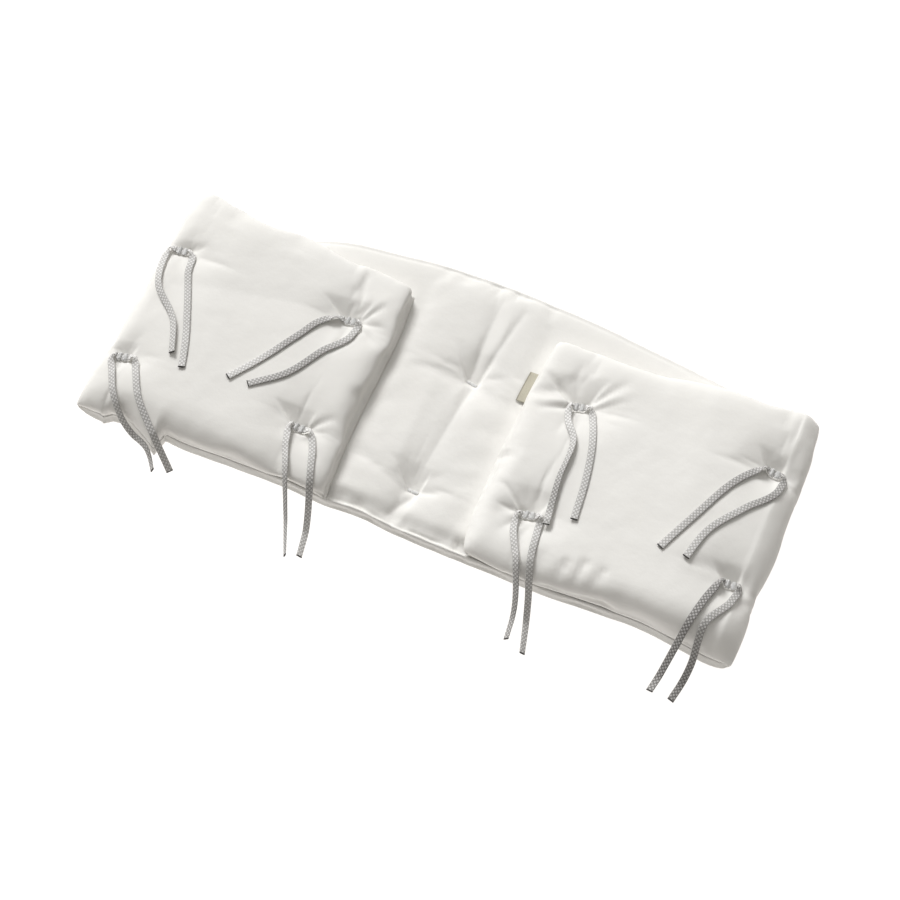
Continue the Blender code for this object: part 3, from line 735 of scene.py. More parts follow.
end_distance = np.array([cut[3] for cut in cuts])[:, None] + 0 * across_strip
walls = np.array([one_wall(*cut[:2]) for cut in cuts])[:, None] * (across_strip < 0.0)

pad_data, outer_index, inner_index = skins_mesh("pad", outer, inner)
points, normals = read_points(pad_data), read_points(pad_data, "normal")


def stands_out(layer, open_face):
    """How far each point of a skin stands out: its ridge, its gathers and the lumps of the filling."""
    near_end = end_distance <= seam_distance + 1e-6
    groove = np.exp(-(((seam_distance - GROOVE_AT) / GROOVE_WIDTH) ** 2))
    ridge = np.exp(-((seam_distance / RIDGE_WIDTH) ** 2)) - GROOVE_SHARE * groove
    ridge = ridge * (1 - RIDGE_LOST * walls)
    beside = np.exp(-((seam_distance / GATHERS_REACH) ** 2)) * np.clip(seam_distance / GATHERS_FROM, 0.0, 1.0)
    fine_side = noise_over(along_strip * ALONG_SEAM, across_strip * AWAY_FROM_SEAM, layer)
    fine_end = noise_over(along_strip * AWAY_FROM_SEAM, across_strip * ALONG_SEAM, layer + 3.0)
    gathers = np.where(near_end, fine_end, fine_side) * beside
    lumps = noise_over(along_strip * BIG_LUMPS, across_strip * BIG_LUMPS, layer + 7.0)
    small = noise_over(along_strip * SMALL_LUMPS, across_strip * SMALL_LUMPS, layer + 9.0)
    lumps = lumps + SMALL_SHARE * small
    return SEAM_RIDGE * ridge + open_face * (GATHERS * gathers + LUMPS * lumps * full)


open_outer = np.clip((outer[..., 2] - OPEN_FROM) / OPEN_FADE, 0.0, 1.0)
open_inner = np.clip((inner[..., 0] - OPEN_STRETCH[0]) / STRETCH_FADE, 0, 1) * (turned == 0.0)[:, None]
open_inner *= np.clip((OPEN_STRETCH[1] - inner[..., 0]) / STRETCH_FADE, 0, 1)
inside_only = (slice(1, -1), slice(1, -1))
for index, layer, open_face in ((inner_index, 20.0, open_inner), (outer_index, 0.0, open_outer)):
    part = slice(None) if index is outer_index else inside_only
    move = stands_out(layer, open_face)[part].ravel()[:, None]
    which = index[part].ravel()
    points[which] += normals[which] * move
wave = SEAM_WAVE * noise_over(along_strip * WANDER_WAVES, across_strip * WANDER_WAVES, 40.0)
wave = wave * np.exp(-((seam_distance / WANDER_REACH) ** 2))
points[outer_index.ravel(), 2] += wave.ravel()
points[inner_index[inside_only].ravel(), 2] += wave[inside_only].ravel()
points[:, 2] = np.maximum(points[:, 2], 0.0)
pad_data.vertices.foreach_set("co", points.ravel())
pad_data.update()
pad = linked("pad_cotton", pad_data)
print("pad", len(pad_data.polygons) * 2, "triangles")

# %% [markdown]
# ## The ties
#
# Each tie is one length of woven tape, sewn to the pad at its middle, so two ends come out of each sewn
# place. A tape end drops off its stitching, turns and lies on whatever is under it. Its line is drawn as
# seen from above and then let down onto the pad, the surface and the tapes laid before it, and a flat
# rounded band is swept along it. It tips up onto its edge where it turns.

# %% Ties
TAPE_WIDTH = 0.0076
TAPE_THICK = 0.0014
STITCHED_LENGTH = 0.0125  # of the stretch of tape that is sewn down
TAPE_CLEAR = 0.0010  # between a tape and what is under it
TAPE_FALL = 1.0  # the slope at which a tape comes down off the pad's edge
TURN_ROLL = 58.0  # degrees that a tape tips up where it turns out of its stitching
TOUCH = 0.0003  # the gap that touching pieces keep
BAND_POINTS, BAND_RINGS, SEWN_RINGS = 16, 121, 15  # round a tape, along it and along its sewn stretch
START_GAP = 0.0002  # more, between a tape and its stitching
LEVEL_START = 0.002  # over which a tape leaves its stitching without a roll
TURN_AFTER, TURN_REACH = 0.003, 0.006  # where it tips up as it turns, and over what length
FEELER, SEWN_FEELER = 0.0012, 0.0022  # half the square in which the highest place under a tape is looked for
SOFTENINGS = 30  # of a tape's height
SEWN_PAST = 0.0006  # how far the sewn stretch goes past its stitching, at both ends together
# painted shade of the sewn stretches: they lie flat and lit, with painted sheen, so it is low
SEWN_PAINTED_SHADE = 0.2
# Each tape from the end of its stitching to its free end: how far it goes on before it turns, how far
# it stands up on its outer edge, in degrees, half-way and at its end, and the places it passes, seen
# from above. They are laid in this order.
TAPES = (
    # tie, side, goes on, half-way roll, end roll, places
    (1, "a", 0.0070, 20, 30, ((-0.362, 0.069), (-0.353, 0.036), (-0.314, -0.004), (-0.297, -0.040))),
    (1, "b", 0.0010, 5, 0, ((-0.327, 0.056), (-0.306, 0.014), (-0.290, -0.022), (-0.280, -0.051))),
    (2, "a", 0.0015, 30, 60, ((-0.347, -0.084), (-0.319, -0.121), (-0.281, -0.139), (-0.268, -0.155))),
    (2, "b", 0.0070, 0, 0, ((-0.325, -0.071), (-0.308, -0.098), (-0.281, -0.124), (-0.251, -0.148))),
    (3, "a", 0.0070, 0, 0, ((-0.164, 0.066), (-0.183, 0.033), (-0.206, -0.007), (-0.230, -0.042))),
    (3, "b", 0.0015, 5, 0, ((-0.131, 0.059), (-0.151, 0.026), (-0.173, -0.012), (-0.207, -0.041))),
    (4, "a", 0.0010, 45, 70, ((-0.143, -0.079), (-0.131, -0.108), (-0.115, -0.147), (-0.097, -0.187))),
    (4, "b", 0.0060, 20, 45, ((-0.116, -0.074), (-0.106, -0.098), (-0.093, -0.136), (-0.083, -0.182))),
    (6, "a", 0.0040, 35, 50, ((0.113, -0.074), (0.130, -0.112), (0.144, -0.146), (0.149, -0.180))),
    (6, "b", 0.0060, 10, 45, ((0.138, -0.073), (0.144, -0.107), (0.156, -0.140), (0.170, -0.188))),
    (5, "a", 0.0010, 45, 10, ((0.118, 0.059), (0.133, 0.036), (0.137, -0.014), (0.144, -0.066))),
    (5, "b", 0.0050, 0, 0, ((0.143, 0.066), (0.153, 0.040), (0.162, 0.001), (0.168, -0.050))),
    (7, "a", 0.0040, 0, 0, ((0.321, 0.077), (0.304, 0.053), (0.281, 0.004), (0.259, -0.045))),
    (7, "b", 0.0020, 0, 0, ((0.349, 0.066), (0.324, 0.030), (0.297, -0.010), (0.287, -0.045))),
    (8, "a", 0.0030, 5, 20, ((0.325, -0.062), (0.316, -0.098), (0.309, -0.136), (0.302, -0.173))),
    (8, "b", 0.0010, 10, 20, ((0.346, -0.066), (0.329, -0.103), (0.331, -0.138), (0.325, -0.174))),
)
# Painted shade on each tape's face, from 0, lit with painted sheen, to 1, in painted shade where it turns
# away from the light or hangs in shadow, at its stitching, each quarter and its free end.
TAPE_PAINTED_SHADES = {
    "1a": (0.1, 0.0, 0.4, 0.2, 0.3),
    "1b": (0.0, 0.3, 0.2, 0.1, 0.1),
    "2a": (0.1, 0.3, 0.5, 0.6, 0.6),
    "2b": (0.0, 0.2, 0.5, 0.5, 0.4),
    "3a": (0.3, 0.6, 0.6, 0.0, 0.0),
    "3b": (0.0, 0.3, 0.6, 0.6, 0.4),
    "4a": (0.0, 0.2, 0.7, 0.8, 0.7),
    "4b": (0.0, 0.1, 0.6, 0.2, 0.0),
    "5a": (0.0, 0.1, 0.5, 0.8, 0.4),
    "5b": (0.0, 0.1, 0.3, 0.3, 0.2),
    "6a": (0.3, 0.2, 0.6, 0.8, 0.8),
    "6b": (0.1, 0.2, 0.4, 0.4, 0.4),
    "7a": (0.6, 0.7, 0.5, 0.4, 0.2),
    "7b": (0.6, 0.8, 0.4, 0.4, 0.2),
    "8a": (0.9, 1.0, 1.0, 1.0, 0.9),
    "8b": (0.6, 0.5, 0.7, 0.9, 0.9),
}
print(len(TAPES), "tape ends to lay")

# %% [markdown]
# ## Where a tape lies
#
# A tape could be dropped by the cloth solver, but it would not stop where the photograph shows it. So its
# line is drawn from above, and only its height is worked out: a ray from above finds what lies under each
# point, over the whole width of the tape, and it never goes down more steeply than cloth would.

# %% Tape routes


class Ground:
    """What a piece can lie on: the surface, the pad and the tapes that are laid already."""

    def __init__(self):
        self.trees = []

    def add(self, shape_points, faces):
        self.trees.append(BVHTree.FromPolygons(shape_points.tolist(), faces))

    def height(self, x, y):
        hits = [tree.ray_cast(Vector((x, y, 1.0)), Vector((0, 0, -1)))[0] for tree in self.trees]
        return max([0.0] + [hit.z for hit in hits if hit])

    def highest(self, x, y, radius):
        """The highest place within a small square."""
        near = (-radius, 0.0, radius)
        return max(self.height(x + dx, y + dy) for dx in near for dy in near)


def smooth_path(places, count):
    """Points at even steps along a smooth curve through the places."""
    places = np.array(places, float)
    knots = np.concatenate([[0], np.cumsum(np.linalg.norm(np.diff(places, axis=0), axis=1))])
    columns = {"at": knots, "x": places[:, 0], "y": places[:, 1]}
    at = np.linspace(0, knots[-1], 240)
    fine = np.stack([along(columns, "x", at, "at"), along(columns, "y", at, "at")], axis=1)
    length = np.concatenate([[0], np.cumsum(np.linalg.norm(np.diff(fine, axis=0), axis=1))])
    even = np.linspace(0, length[-1], count)
    return np.stack([np.interp(even, length, fine[:, k]) for k in range(2)], axis=1), even


def sewn_axes(x, y, turn):
    """The middle of a sewn place, the direction along its stretch of tape and the one across it."""
    angle = math.radians(turn)
    lengthwise = np.array([math.cos(angle), math.sin(angle)])
    return np.array([x, y]), lengthwise, np.array([-lengthwise[1], lengthwise[0]])


def tie_axes(number):
    """The same for a tie, by its number."""
    return sewn_axes(*(TIES[column][number - 1] for column in ("x", "y", "turn")))


def tape_route(ground, tie, side, goes_on, half_roll, end_roll, places):
    """The line down the middle of a tape, lying on the pad and the surface, and its roll."""
    middle, out, _ = tie_axes(tie)
    out = out * (-1 if side == "a" else 1)
    start = middle + out * (STITCHED_LENGTH / 2 + TOUCH + START_GAP)
    flat, at = smooth_path([start, start + goes_on * out, *places], BAND_RINGS)
    heading = np.gradient(flat, axis=0)
    heading /= np.linalg.norm(heading, axis=1)[:, None]
    across = np.stack([-heading[:, 1], heading[:, 0]], axis=1)
    share = at / at[-1]
    roll = np.interp(share, (0.0, 0.15, 0.5, 1.0), (0.0, 0.3 * half_roll, half_roll, end_roll))
    roll = np.maximum(roll, TURN_ROLL * np.exp(-(((at - goes_on - TURN_AFTER) / TURN_REACH) ** 2)))
    roll = np.radians(roll) * np.clip(at / LEVEL_START, 0.0, 1.0)
    half = TAPE_WIDTH / 2 * np.cos(roll)
    under = np.max(
        [
            [ground.highest(*place, FEELER) for place in flat + shift * half[:, None] * across]
            for shift in (-1.0, -0.5, 0.0, 0.5, 1.0)
        ],
        axis=0,
    )
    stands = TAPE_THICK / 2 * np.cos(roll) + TAPE_WIDTH / 2 * np.sin(np.abs(roll))
    lying = under + stands + TAPE_CLEAR
    steps = np.abs(at[:, None] - at[None, :])
    z = np.max(lying[None, :] - TAPE_FALL * steps, axis=1)
    for _ in range(SOFTENINGS):
        z[1:-1] = np.maximum(z[1:-1], (z[:-2] + 2 * z[1:-1] + z[2:]) / 4)
    return np.column_stack([flat, z]), roll if side == "a" else -roll


ground = Ground()
ground.add(points - MIDDLE, [list(face.vertices) for face in pad_data.polygons])
print("the pad is", round(1000 * ground.height(0.2, 0.0), 1), "mm high on the right flap")

# %% [markdown]
# ## The woven band
#
# Woven tape is a flat band with rounded edges. Its section is swept along the line, turned by the roll at
# each ring. Each point also gets its place on the tape in millimetres, counted from the free end, for the
# weave to follow, so the check bends with the tape.

# %% Bands


def band(line, roll, width=TAPE_WIDTH, thick=TAPE_THICK):
    """A flat woven band along a line: its points, its faces, and each point's place on the tape in mm."""
    heading = np.gradient(line, axis=0)
    heading[0, 2] = 0.0  # it leaves its stitching level
    heading /= np.linalg.norm(heading, axis=1)[:, None]
    level = np.stack([-heading[:, 1], heading[:, 0], 0 * heading[:, 0]], axis=1)
    level /= np.linalg.norm(level, axis=1)[:, None]
    up = np.cross(heading, level)
    cos, sin = np.cos(roll)[:, None], np.sin(roll)[:, None]
    wide, high = level * cos + up * sin, up * cos - level * sin
    around = np.arange(BAND_POINTS) * 2 * math.pi / BAND_POINTS
    across = np.sign(np.cos(around)) * np.abs(np.cos(around)) ** 0.55 * width / 2
    upward = np.sign(np.sin(around)) * np.abs(np.sin(around)) ** 0.75 * thick / 2
    rings = line[:, None] + wide[:, None] * across[:, None] + high[:, None] * upward[:, None]
    count = len(line)
    index = np.arange(count * BAND_POINTS).reshape(count, BAND_POINTS)
    following = np.roll(index, -1, axis=1)
    sides = np.stack([index[:-1], following[:-1], following[1:], index[1:]], axis=-1).reshape(-1, 4)
    faces = sides.tolist() + [index[0][::-1].tolist(), index[-1].tolist()]
    length = np.concatenate([[0], np.cumsum(np.linalg.norm(np.diff(line, axis=0), axis=1))])
    to_end = (length[-1] - length)[:, None]
    place = np.stack(np.broadcast_arrays(across[None, :] * 1000, to_end * 1000), axis=-1)
    return rings.reshape(-1, 3), faces, place.reshape(-1, 2)


def made_piece(name, shape_points, faces, place=None, painted_shade=None):
    """An object from points and faces, with its place in mm as a UV map and a painted shade on its points."""
    mesh = bpy.data.meshes.new(name)
    mesh.from_pydata((shape_points + MIDDLE).tolist(), [], faces)
    if place is not None:
        corner = np.empty(len(mesh.loops), dtype=np.int32)
        mesh.loops.foreach_get("vertex_index", corner)
        mesh.uv_layers.new(name="place").data.foreach_set("uv", place[corner].ravel())
    if painted_shade is not None:
        mesh.attributes.new("painted_shade", "FLOAT", "POINT").data.foreach_set("value", painted_shade)
    face_outwards(mesh)
    mesh.shade_smooth()
    return linked(name, mesh)


# %% [markdown]
# ## Sewing and laying
#
# The sewn stretch of each tie follows the bottom of its pinch, softened, as a tape does that is held down
# along its length. Then the free ends are laid one after the other, each on top of those before it.

# %% Sewn stretches and free ends
sewn, sewn_level = {}, {}
for number in range(1, 9):
    middle, lengthwise, crosswise = tie_axes(number)
    reach = np.linspace(-0.5, 0.5, SEWN_RINGS) * (STITCHED_LENGTH + SEWN_PAST)
    low = [
        max(
            ground.highest(*(middle + step * lengthwise + shift * crosswise), SEWN_FEELER)
            for shift in (-TAPE_WIDTH / 2, 0.0, TAPE_WIDTH / 2)
        )
        for step in reach
    ]
    low = np.convolve(np.pad(low, 2, mode="edge"), np.ones(5) / 5, mode="valid")
    line = np.column_stack([middle + reach[:, None] * lengthwise, low + TOUCH + TAPE_THICK / 2])
    body_points, faces, place = band(line, np.zeros(len(line)))
    place[:, 1] += 150  # mm from its free ends
    name = f"tie_{number}_sewn"
    sewn[number] = made_piece(name, body_points, faces, place, np.full(len(body_points), SEWN_PAINTED_SHADE))
    sewn_level[number] = (reach, line[:, 2] + TAPE_THICK / 2)

tapes = {}
for number, side, *course in TAPES:
    line, roll = tape_route(ground, number, side, *course)
    body_points, faces, place = band(line, roll)
    ground.add(body_points, faces)
    share = 1 - place[:, 1] / place[:, 1].max()
    # the painted sheen and shade along the tape, from its row of the table
    painted_shade = np.interp(share, (0, 0.25, 0.5, 0.75, 1), TAPE_PAINTED_SHADES[f"{number}{side}"])
    name = f"tie_{number}_{side}"
    tapes[number, side] = (made_piece(name, body_points, faces, place, painted_shade), line)
print(len(tapes), "tape ends laid")

# %% [markdown]
# ## The stitches
#
# Two bars of close satin stitches hold each tie down, and two smaller ones side by side make each middle
# tack. A bar is one small arch of thread, repeated: Geometry Nodes sets it on the points of a short line,
# turns each copy a little by chance, and makes the copies real, so a bar's size and its thread can be
# changed by typing a number.

# %% Satin bars
THREAD_PITCH = 0.82  # from one arch of thread to the next, in thicknesses of the thread


def node(tree, kind, inputs=(), **settings):
    """A new node with its settings, and its inputs set or linked by name or number."""
    made = tree.nodes.new(kind)
    for name, value in settings.items():
        setattr(made, name, value)
    for name, value in dict(inputs).items():
        if isinstance(value, bpy.types.NodeSocket):
            tree.links.new(value, made.inputs[name])
        else:
            made.inputs[name].default_value = value
    return made


def calc(tree, operation, *values):
    """A sum of one or two values, as a node's output."""
    return node(tree, "ShaderNodeMath", dict(enumerate(values)), operation=operation).outputs[0]


def satin_tree():
    """Node group for one satin bar: arches of thread across X, side by side along Y."""
    tree = bpy.data.node_groups.new("satin_bar", "GeometryNodeTree")
    for name, default in (("Length", 0.0095), ("Width", 0.0042), ("Height", 0.0012), ("Thread", 0.0004)):
        socket = tree.interface.new_socket(name, in_out="INPUT", socket_type="NodeSocketFloat")
        socket.default_value = default
    tree.interface.new_socket("Seed", in_out="INPUT", socket_type="NodeSocketInt")
    tree.interface.new_socket("Thread material", in_out="INPUT", socket_type="NodeSocketMaterial")
    tree.interface.new_socket("Bar", in_out="OUTPUT", socket_type="NodeSocketGeometry")
    given = node(tree, "NodeGroupInput").outputs

    def times(value, factor):
        return calc(tree, "MULTIPLY", value, factor)

    def vector(**parts):
        return node(tree, "ShaderNodeCombineXYZ", parts).outputs[0]

    def chance(low, high):
        limits = {0: low, 1: high, "Seed": given["Seed"]}
        return node(tree, "FunctionNodeRandomValue", limits, data_type="FLOAT_VECTOR").outputs[0]

    step, half = times(given["Thread"], THREAD_PITCH), times(given["Width"], 0.5)
    inputs = {
        "Count": calc(tree, "DIVIDE", given["Length"], step),
        "Start Location": vector(Y=times(given["Length"], -0.5)),
        "Offset": vector(Y=step),
    }
    row = node(tree, "GeometryNodeMeshLine", inputs)
    inputs = {
        "Resolution": 8,
        "Start": vector(X=times(half, -1.0)),
        "Middle": vector(Z=times(given["Height"], 2.0)),
        "End": vector(X=half),
    }
    arch = node(tree, "GeometryNodeCurveQuadraticBezier", inputs)
    inputs = {"Resolution": 6, "Radius": times(given["Thread"], 0.5)}
    ring = node(tree, "GeometryNodeCurvePrimitiveCircle", inputs)
    inputs = {"Curve": arch.outputs[0], "Profile Curve": ring.outputs[0], "Fill Caps": True}
    tube = node(tree, "GeometryNodeCurveToMesh", inputs)
    inputs = {
        "Points": row.outputs[0],
        "Instance": tube.outputs[0],
        "Rotation": chance((0.0, 0.0, -0.05), (0.0, 0.0, 0.13)),
        "Scale": chance((0.94, 1.0, 0.94), (1.06, 1.0, 1.06)),
    }
    copies = node(tree, "GeometryNodeInstanceOnPoints", inputs)
    real = node(tree, "GeometryNodeRealizeInstances", {"Geometry": copies.outputs[0]})
    inputs = {"Geometry": real.outputs[0], "Material": given["Thread material"]}
    node(tree, "NodeGroupOutput", {"Bar": node(tree, "GeometryNodeSetMaterial", inputs).outputs[0]})
    return tree


def satin_bar(length, width, height, seed):
    """The points and faces of one satin bar round its own middle."""
    maker = linked("bar_maker", bpy.data.meshes.new("bar_maker"))
    bar = maker.modifiers.new("bar", "NODES")
    bar.node_group = tree
    values = {"Length": length, "Width": width, "Height": height, "Seed": seed}
    values["Thread material"] = thread_material
    for socket in tree.interface.items_tree:
        if socket.in_out == "INPUT" and socket.name in values:
            bar[socket.identifier] = values[socket.name]
    maker.update_tag()
    evaluated = maker.evaluated_get(bpy.context.evaluated_depsgraph_get())
    mesh = bpy.data.meshes.new_from_object(evaluated)
    bpy.data.objects.remove(maker, do_unlink=True)
    return read_points(mesh), [list(face.vertices) for face in mesh.polygons]


def joined(shapes):
    """Several shapes as one: all their points, and their faces counted on."""
    all_points, all_faces, count = [], [], 0
    for shape_points, faces in shapes:
        all_points.append(shape_points)
        all_faces += [[corner + count for corner in face] for face in faces]
        count += len(shape_points)
    return np.concatenate(all_points), all_faces


thread_material = bpy.data.materials.new("satin_thread")
tree = satin_tree()
print("a bar can be set by", sum(item.in_out == "INPUT" for item in tree.interface.items_tree), "inputs")

# %% [markdown]
# ## Sewing the bars down
#
# On a tie the two bars lie across the tape and dip at its edges into the cotton. A middle tack is two bars
# end to end. Each point of a bar is let down onto what is under it, so the bar lies in its pinch.

# %% Sewing down
TIE_BARS = table(
    "at length width height lean",
    (-0.0028, 0.0098, 0.0040, 0.0014, 0.10),
    (0.0030, 0.0090, 0.0046, 0.0010, 0.04),
)
BAR_EDGE, BAR_DIP = 0.0004, 0.9  # how far inside the tape's edge a bar starts to dip, and how steeply
TACK_BARS = table(
    "at length width height", (-0.0042, 0.0034, 0.0038, 0.0010), (0.0019, 0.0078, 0.0038, 0.0011)
)


def bars_of(rows, seed):
    """Each bar of a table: its number, where it lies along the stretch, its points and its faces."""
    for i, (at, *sizes) in enumerate(zip(*(rows[column] for column in ("at", "length", "width", "height")))):
        yield i, at, *satin_bar(*sizes, seed + i)


def tie_bars(number):
    """A tie's two bars, over its tape and down past the tape's edges."""
    middle, lengthwise, crosswise = tie_axes(number)
    shapes = []
    for i, at, local, faces in bars_of(TIE_BARS, 10 * number):
        x = local[:, 0] + at + TIE_BARS["lean"][i] * local[:, 1]
        flat = middle + x[:, None] * lengthwise + local[:, 1:2] * crosswise
        over = np.maximum(0.0, np.abs(local[:, 1]) - TAPE_WIDTH / 2 + BAR_EDGE)
        z = np.interp(x, *sewn_level[number]) + local[:, 2] - BAR_DIP * over
        shapes.append((np.column_stack([flat, z]), faces))
    return made_piece(f"tie_{number}_bars", *joined(shapes))


def tack_bars(name, seed):
    """A middle tack's two bars, end to end on the inner face."""
    middle, lengthwise, crosswise = sewn_axes(*TACKS[name])
    shapes = []
    for _, at, local, faces in bars_of(TACK_BARS, seed):
        flat = middle + (local[:, 1:2] + at) * lengthwise - local[:, 0:1] * crosswise
        low = np.array([ground.height(*place) for place in flat])
        shapes.append((np.column_stack([flat, low + local[:, 2] + TOUCH]), faces))
    return made_piece(name + "_bars", *joined(shapes))


stitches = {number: tie_bars(number) for number in range(1, 9)}
tacks = {name: tack_bars(name, 90 + 10 * i) for i, name in enumerate(TACKS)}
print("satin bars", sum(len(o.data.polygons) for o in (*stitches.values(), *tacks.values())), "faces")

# %% [markdown]
# ## The label
#
# A small folded label is sewn into the right flap's free end and slopes down to the base. It is a thin
# closed sheet, left bare, woven of beige thread, with a darker line where its end is turned under.

# %% Label
LABEL_EDGE = (0.066, 0.104)  # the stretch of the right flap's free end that the label is sewn to
LABEL_WIDTH = 0.0105
LABEL_THICK = 0.0006
LABEL_ROWS, LABEL_COLUMNS = 24, 9
LABEL_GAP = 0.0001  # more, between the label and the flap
LABEL_BOW, LABEL_WAVE = 0.0005, 160  # how much it bows, and how fast that changes along the edge
LABEL_FALL = 0.0008  # from the flap to its free edge


def label_shape():
    """The label's points, its faces and each point's place on it in mm."""
    shape_points, place = [], []
    ys = np.linspace(*LABEL_EDGE, LABEL_ROWS)
    shares = np.linspace(0.0, 1.0, LABEL_COLUMNS)
    for half in (-0.5, 0.5):
        for y in ys:
            end = float(along(ACROSS, "right_end", y, "y"))
            seam = float(base_top(end, y)) + LAYER_GAP + FLAP_LINING * EDGE_SEAT
            for share in shares:
                bow = LABEL_BOW * math.sin(math.pi * share) * math.sin((y - ys[0]) * LABEL_WAVE)
                z = seam - LABEL_FALL * share + bow + LABEL_THICK * half
                shape_points.append((end - TOUCH - LABEL_GAP - LABEL_WIDTH * share, y, z))
                place.append((1000 * LABEL_WIDTH * share, 1000 * (y - ys[0])))
    rows, columns = len(ys), len(shares)
    index = np.arange(2 * rows * columns).reshape(2, rows, columns)
    faces = []
    for side in (0, 1):
        sheet = index[side]
        quads = np.stack([sheet[:-1, :-1], sheet[1:, :-1], sheet[1:, 1:], sheet[:-1, 1:]], axis=-1)
        faces += quads.reshape(-1, 4)[:, :: 1 if side else -1].tolist()
    rim = [(r, 0) for r in range(rows)] + [(rows - 1, c) for c in range(1, columns)]
    rim += [(r, columns - 1) for r in range(rows - 2, -1, -1)]
    rim += [(0, c) for c in range(columns - 2, 0, -1)]
    for here, there in zip(rim, rim[1:] + rim[:1]):
        faces.append([index[0][here], index[0][there], index[1][there], index[1][here]])
    faces = [[int(corner) for corner in face] for face in faces]
    return np.array(shape_points), faces, np.array(place)


label = made_piece("label_sheet", *label_shape())
print("label", [round(1000 * side, 1) for side in label.dimensions], "mm")

# %% [markdown]
# ## Materials
#
# The cover is plain white cotton: a fine weave, soft small wrinkles and hardly any gloss. The tapes are
# woven in a check of light dots between dark diagonal lines. Their pattern follows each tape, in
# millimetres from its free end, so it never slides. The thread is smoother and brighter than the cloth.

# %% Materials


def mix(tree, share, first, second):
    """A colour between two."""
    inputs = {0: share, 6: first, 7: second}  # the share and the two colours, among the node's many inputs
    return node(tree, "ShaderNodeMix", inputs, data_type="RGBA").outputs[2]


def bumped(tree, strength, distance, height, **before):
    """The surface's normal, raised by a pattern."""
    inputs = {"Strength": strength, "Distance": distance, "Height": height}
    return node(tree, "ShaderNodeBump", inputs | before).outputs[0]


def flecks(tree, scale, detail):
    """Smooth chance spots all over a piece, from 0 to 1."""
    where = node(tree, "ShaderNodeTexCoord").outputs["Object"]
    return node(tree, "ShaderNodeTexNoise", {"Vector": where, "Scale": scale, "Detail": detail}).outputs[0]


def ripple(tree, value, pitch):
    """A wave from 0 to 1 and back in every pitch."""
    return calc(tree, "ABSOLUTE", calc(tree, "SINE", calc(tree, "MULTIPLY", value, math.pi / pitch)))


def place_on(tree):
    """A point's place on its tape or label in mm, across and along."""
    place = node(tree, "ShaderNodeUVMap", uv_map="place").outputs[0]
    return node(tree, "ShaderNodeSeparateXYZ", {0: place}).outputs


print("helpers ready")

# %% [markdown]
# ## Cotton
#
# Photographed cloth could be laid over the pad, but it would stretch in the folds. Three sizes of noise in
# the piece's own coordinates do it without: faint patches of colour, soft wrinkles and the fine weave.

# %% Cotton


def cloth_shader(material, roughness, sheen, specular=0.3):
    """The material's tree and its shader, with the gloss of cloth."""
    material.use_nodes = True
    shader = material.node_tree.nodes["Principled BSDF"]
    shader.inputs["Roughness"].default_value = roughness
    shader.inputs["Sheen Weight"].default_value = sheen
    shader.inputs["Sheen Roughness"].default_value = 0.5
    shader.inputs["Specular IOR Level"].default_value = specular
    return material.node_tree, shader


def coloured(tree, shader, colour, normal=None):
    """Link a colour, and a raised normal if there is one, to the shader."""
    tree.links.new(colour, shader.inputs["Base Color"])
    if normal:
        tree.links.new(normal, shader.inputs["Normal"])


def cotton_material():
    """Plain white cotton: faint patches, small soft wrinkles and a fine weave."""
    material = bpy.data.materials.new("cotton_cover")
    tree, shader = cloth_shader(material, 0.92, 0.12)
    colour = mix(tree, flecks(tree, 9.0, 2.0), (0.825, 0.810, 0.778, 1), (0.852, 0.842, 0.816, 1))
    wrinkled = bumped(tree, 0.5, 0.0010, flecks(tree, 75.0, 3.0))
    weave = bumped(tree, 0.35, 0.00012, flecks(tree, 1400.0, 1.0), Normal=wrinkled)
    coloured(tree, shader, colour, weave)
    return material


cotton = cotton_material()
print(cotton.name, "made")

# %% [markdown]
# ## Tape, thread and label
#
# The tapes' check is two crossed ripples, so a dot comes wherever both are high. A painted shade on each
# point sets how dark the weave looks there: it paints the sheen of a tape that lies towards the light, and
# the shade of one that turns away from it or hangs in shadow. The thread and the label are plain, with fine
# flecks and fine ribs.

# %% Tape, thread and label
TAPE_CHECK = 4.4  # mm from dot to dot
# The check's colours lit, with painted sheen, and in painted shade, and the colour of a tape's dark free end.
TAPE_COLOURS = {
    "lit dot": (0.88, 0.875, 0.865, 1),
    "lit line": (0.60, 0.59, 0.575, 1),
    "shaded dot": (0.49, 0.48, 0.47, 1),
    "shaded line": (0.185, 0.178, 0.172, 1),
    "dark end": (0.07, 0.067, 0.065, 1),
}
DOTS_FROM, DOTS_TO = 0.22, 0.72  # of the crossed ripples, where a dot begins and where it is full
# how many mm at a tape's free end are dark
DARK_END = 1.1  # mm


def tape_material():
    """Woven tape: light dots between dark diagonal lines, lit or in painted shade, and a dark free end."""
    material = bpy.data.materials.new("check_tape")
    tree, shader = cloth_shader(material, 0.7, 0.1)
    across, along_tape, _ = place_on(tree)
    diagonals = (calc(tree, way, across, along_tape) for way in ("ADD", "SUBTRACT"))
    check = calc(tree, "MULTIPLY", *(ripple(tree, diagonal, TAPE_CHECK) for diagonal in diagonals))
    inputs = {"Value": check, "From Min": DOTS_FROM, "From Max": DOTS_TO}
    dots = node(tree, "ShaderNodeMapRange", inputs, interpolation_type="SMOOTHSTEP").outputs[0]
    # The painted shade picks between the lit check and the check in painted shade.
    painted_shade = node(tree, "ShaderNodeAttribute", attribute_name="painted_shade").outputs["Fac"]
    light = mix(tree, dots, TAPE_COLOURS["lit line"], TAPE_COLOURS["lit dot"])
    dark = mix(tree, dots, TAPE_COLOURS["shaded line"], TAPE_COLOURS["shaded dot"])
    end = calc(tree, "LESS_THAN", along_tape, DARK_END)
    colour = mix(tree, end, mix(tree, painted_shade, light, dark), TAPE_COLOURS["dark end"])
    coloured(tree, shader, colour, bumped(tree, 0.6, 0.0004, dots))
    return material


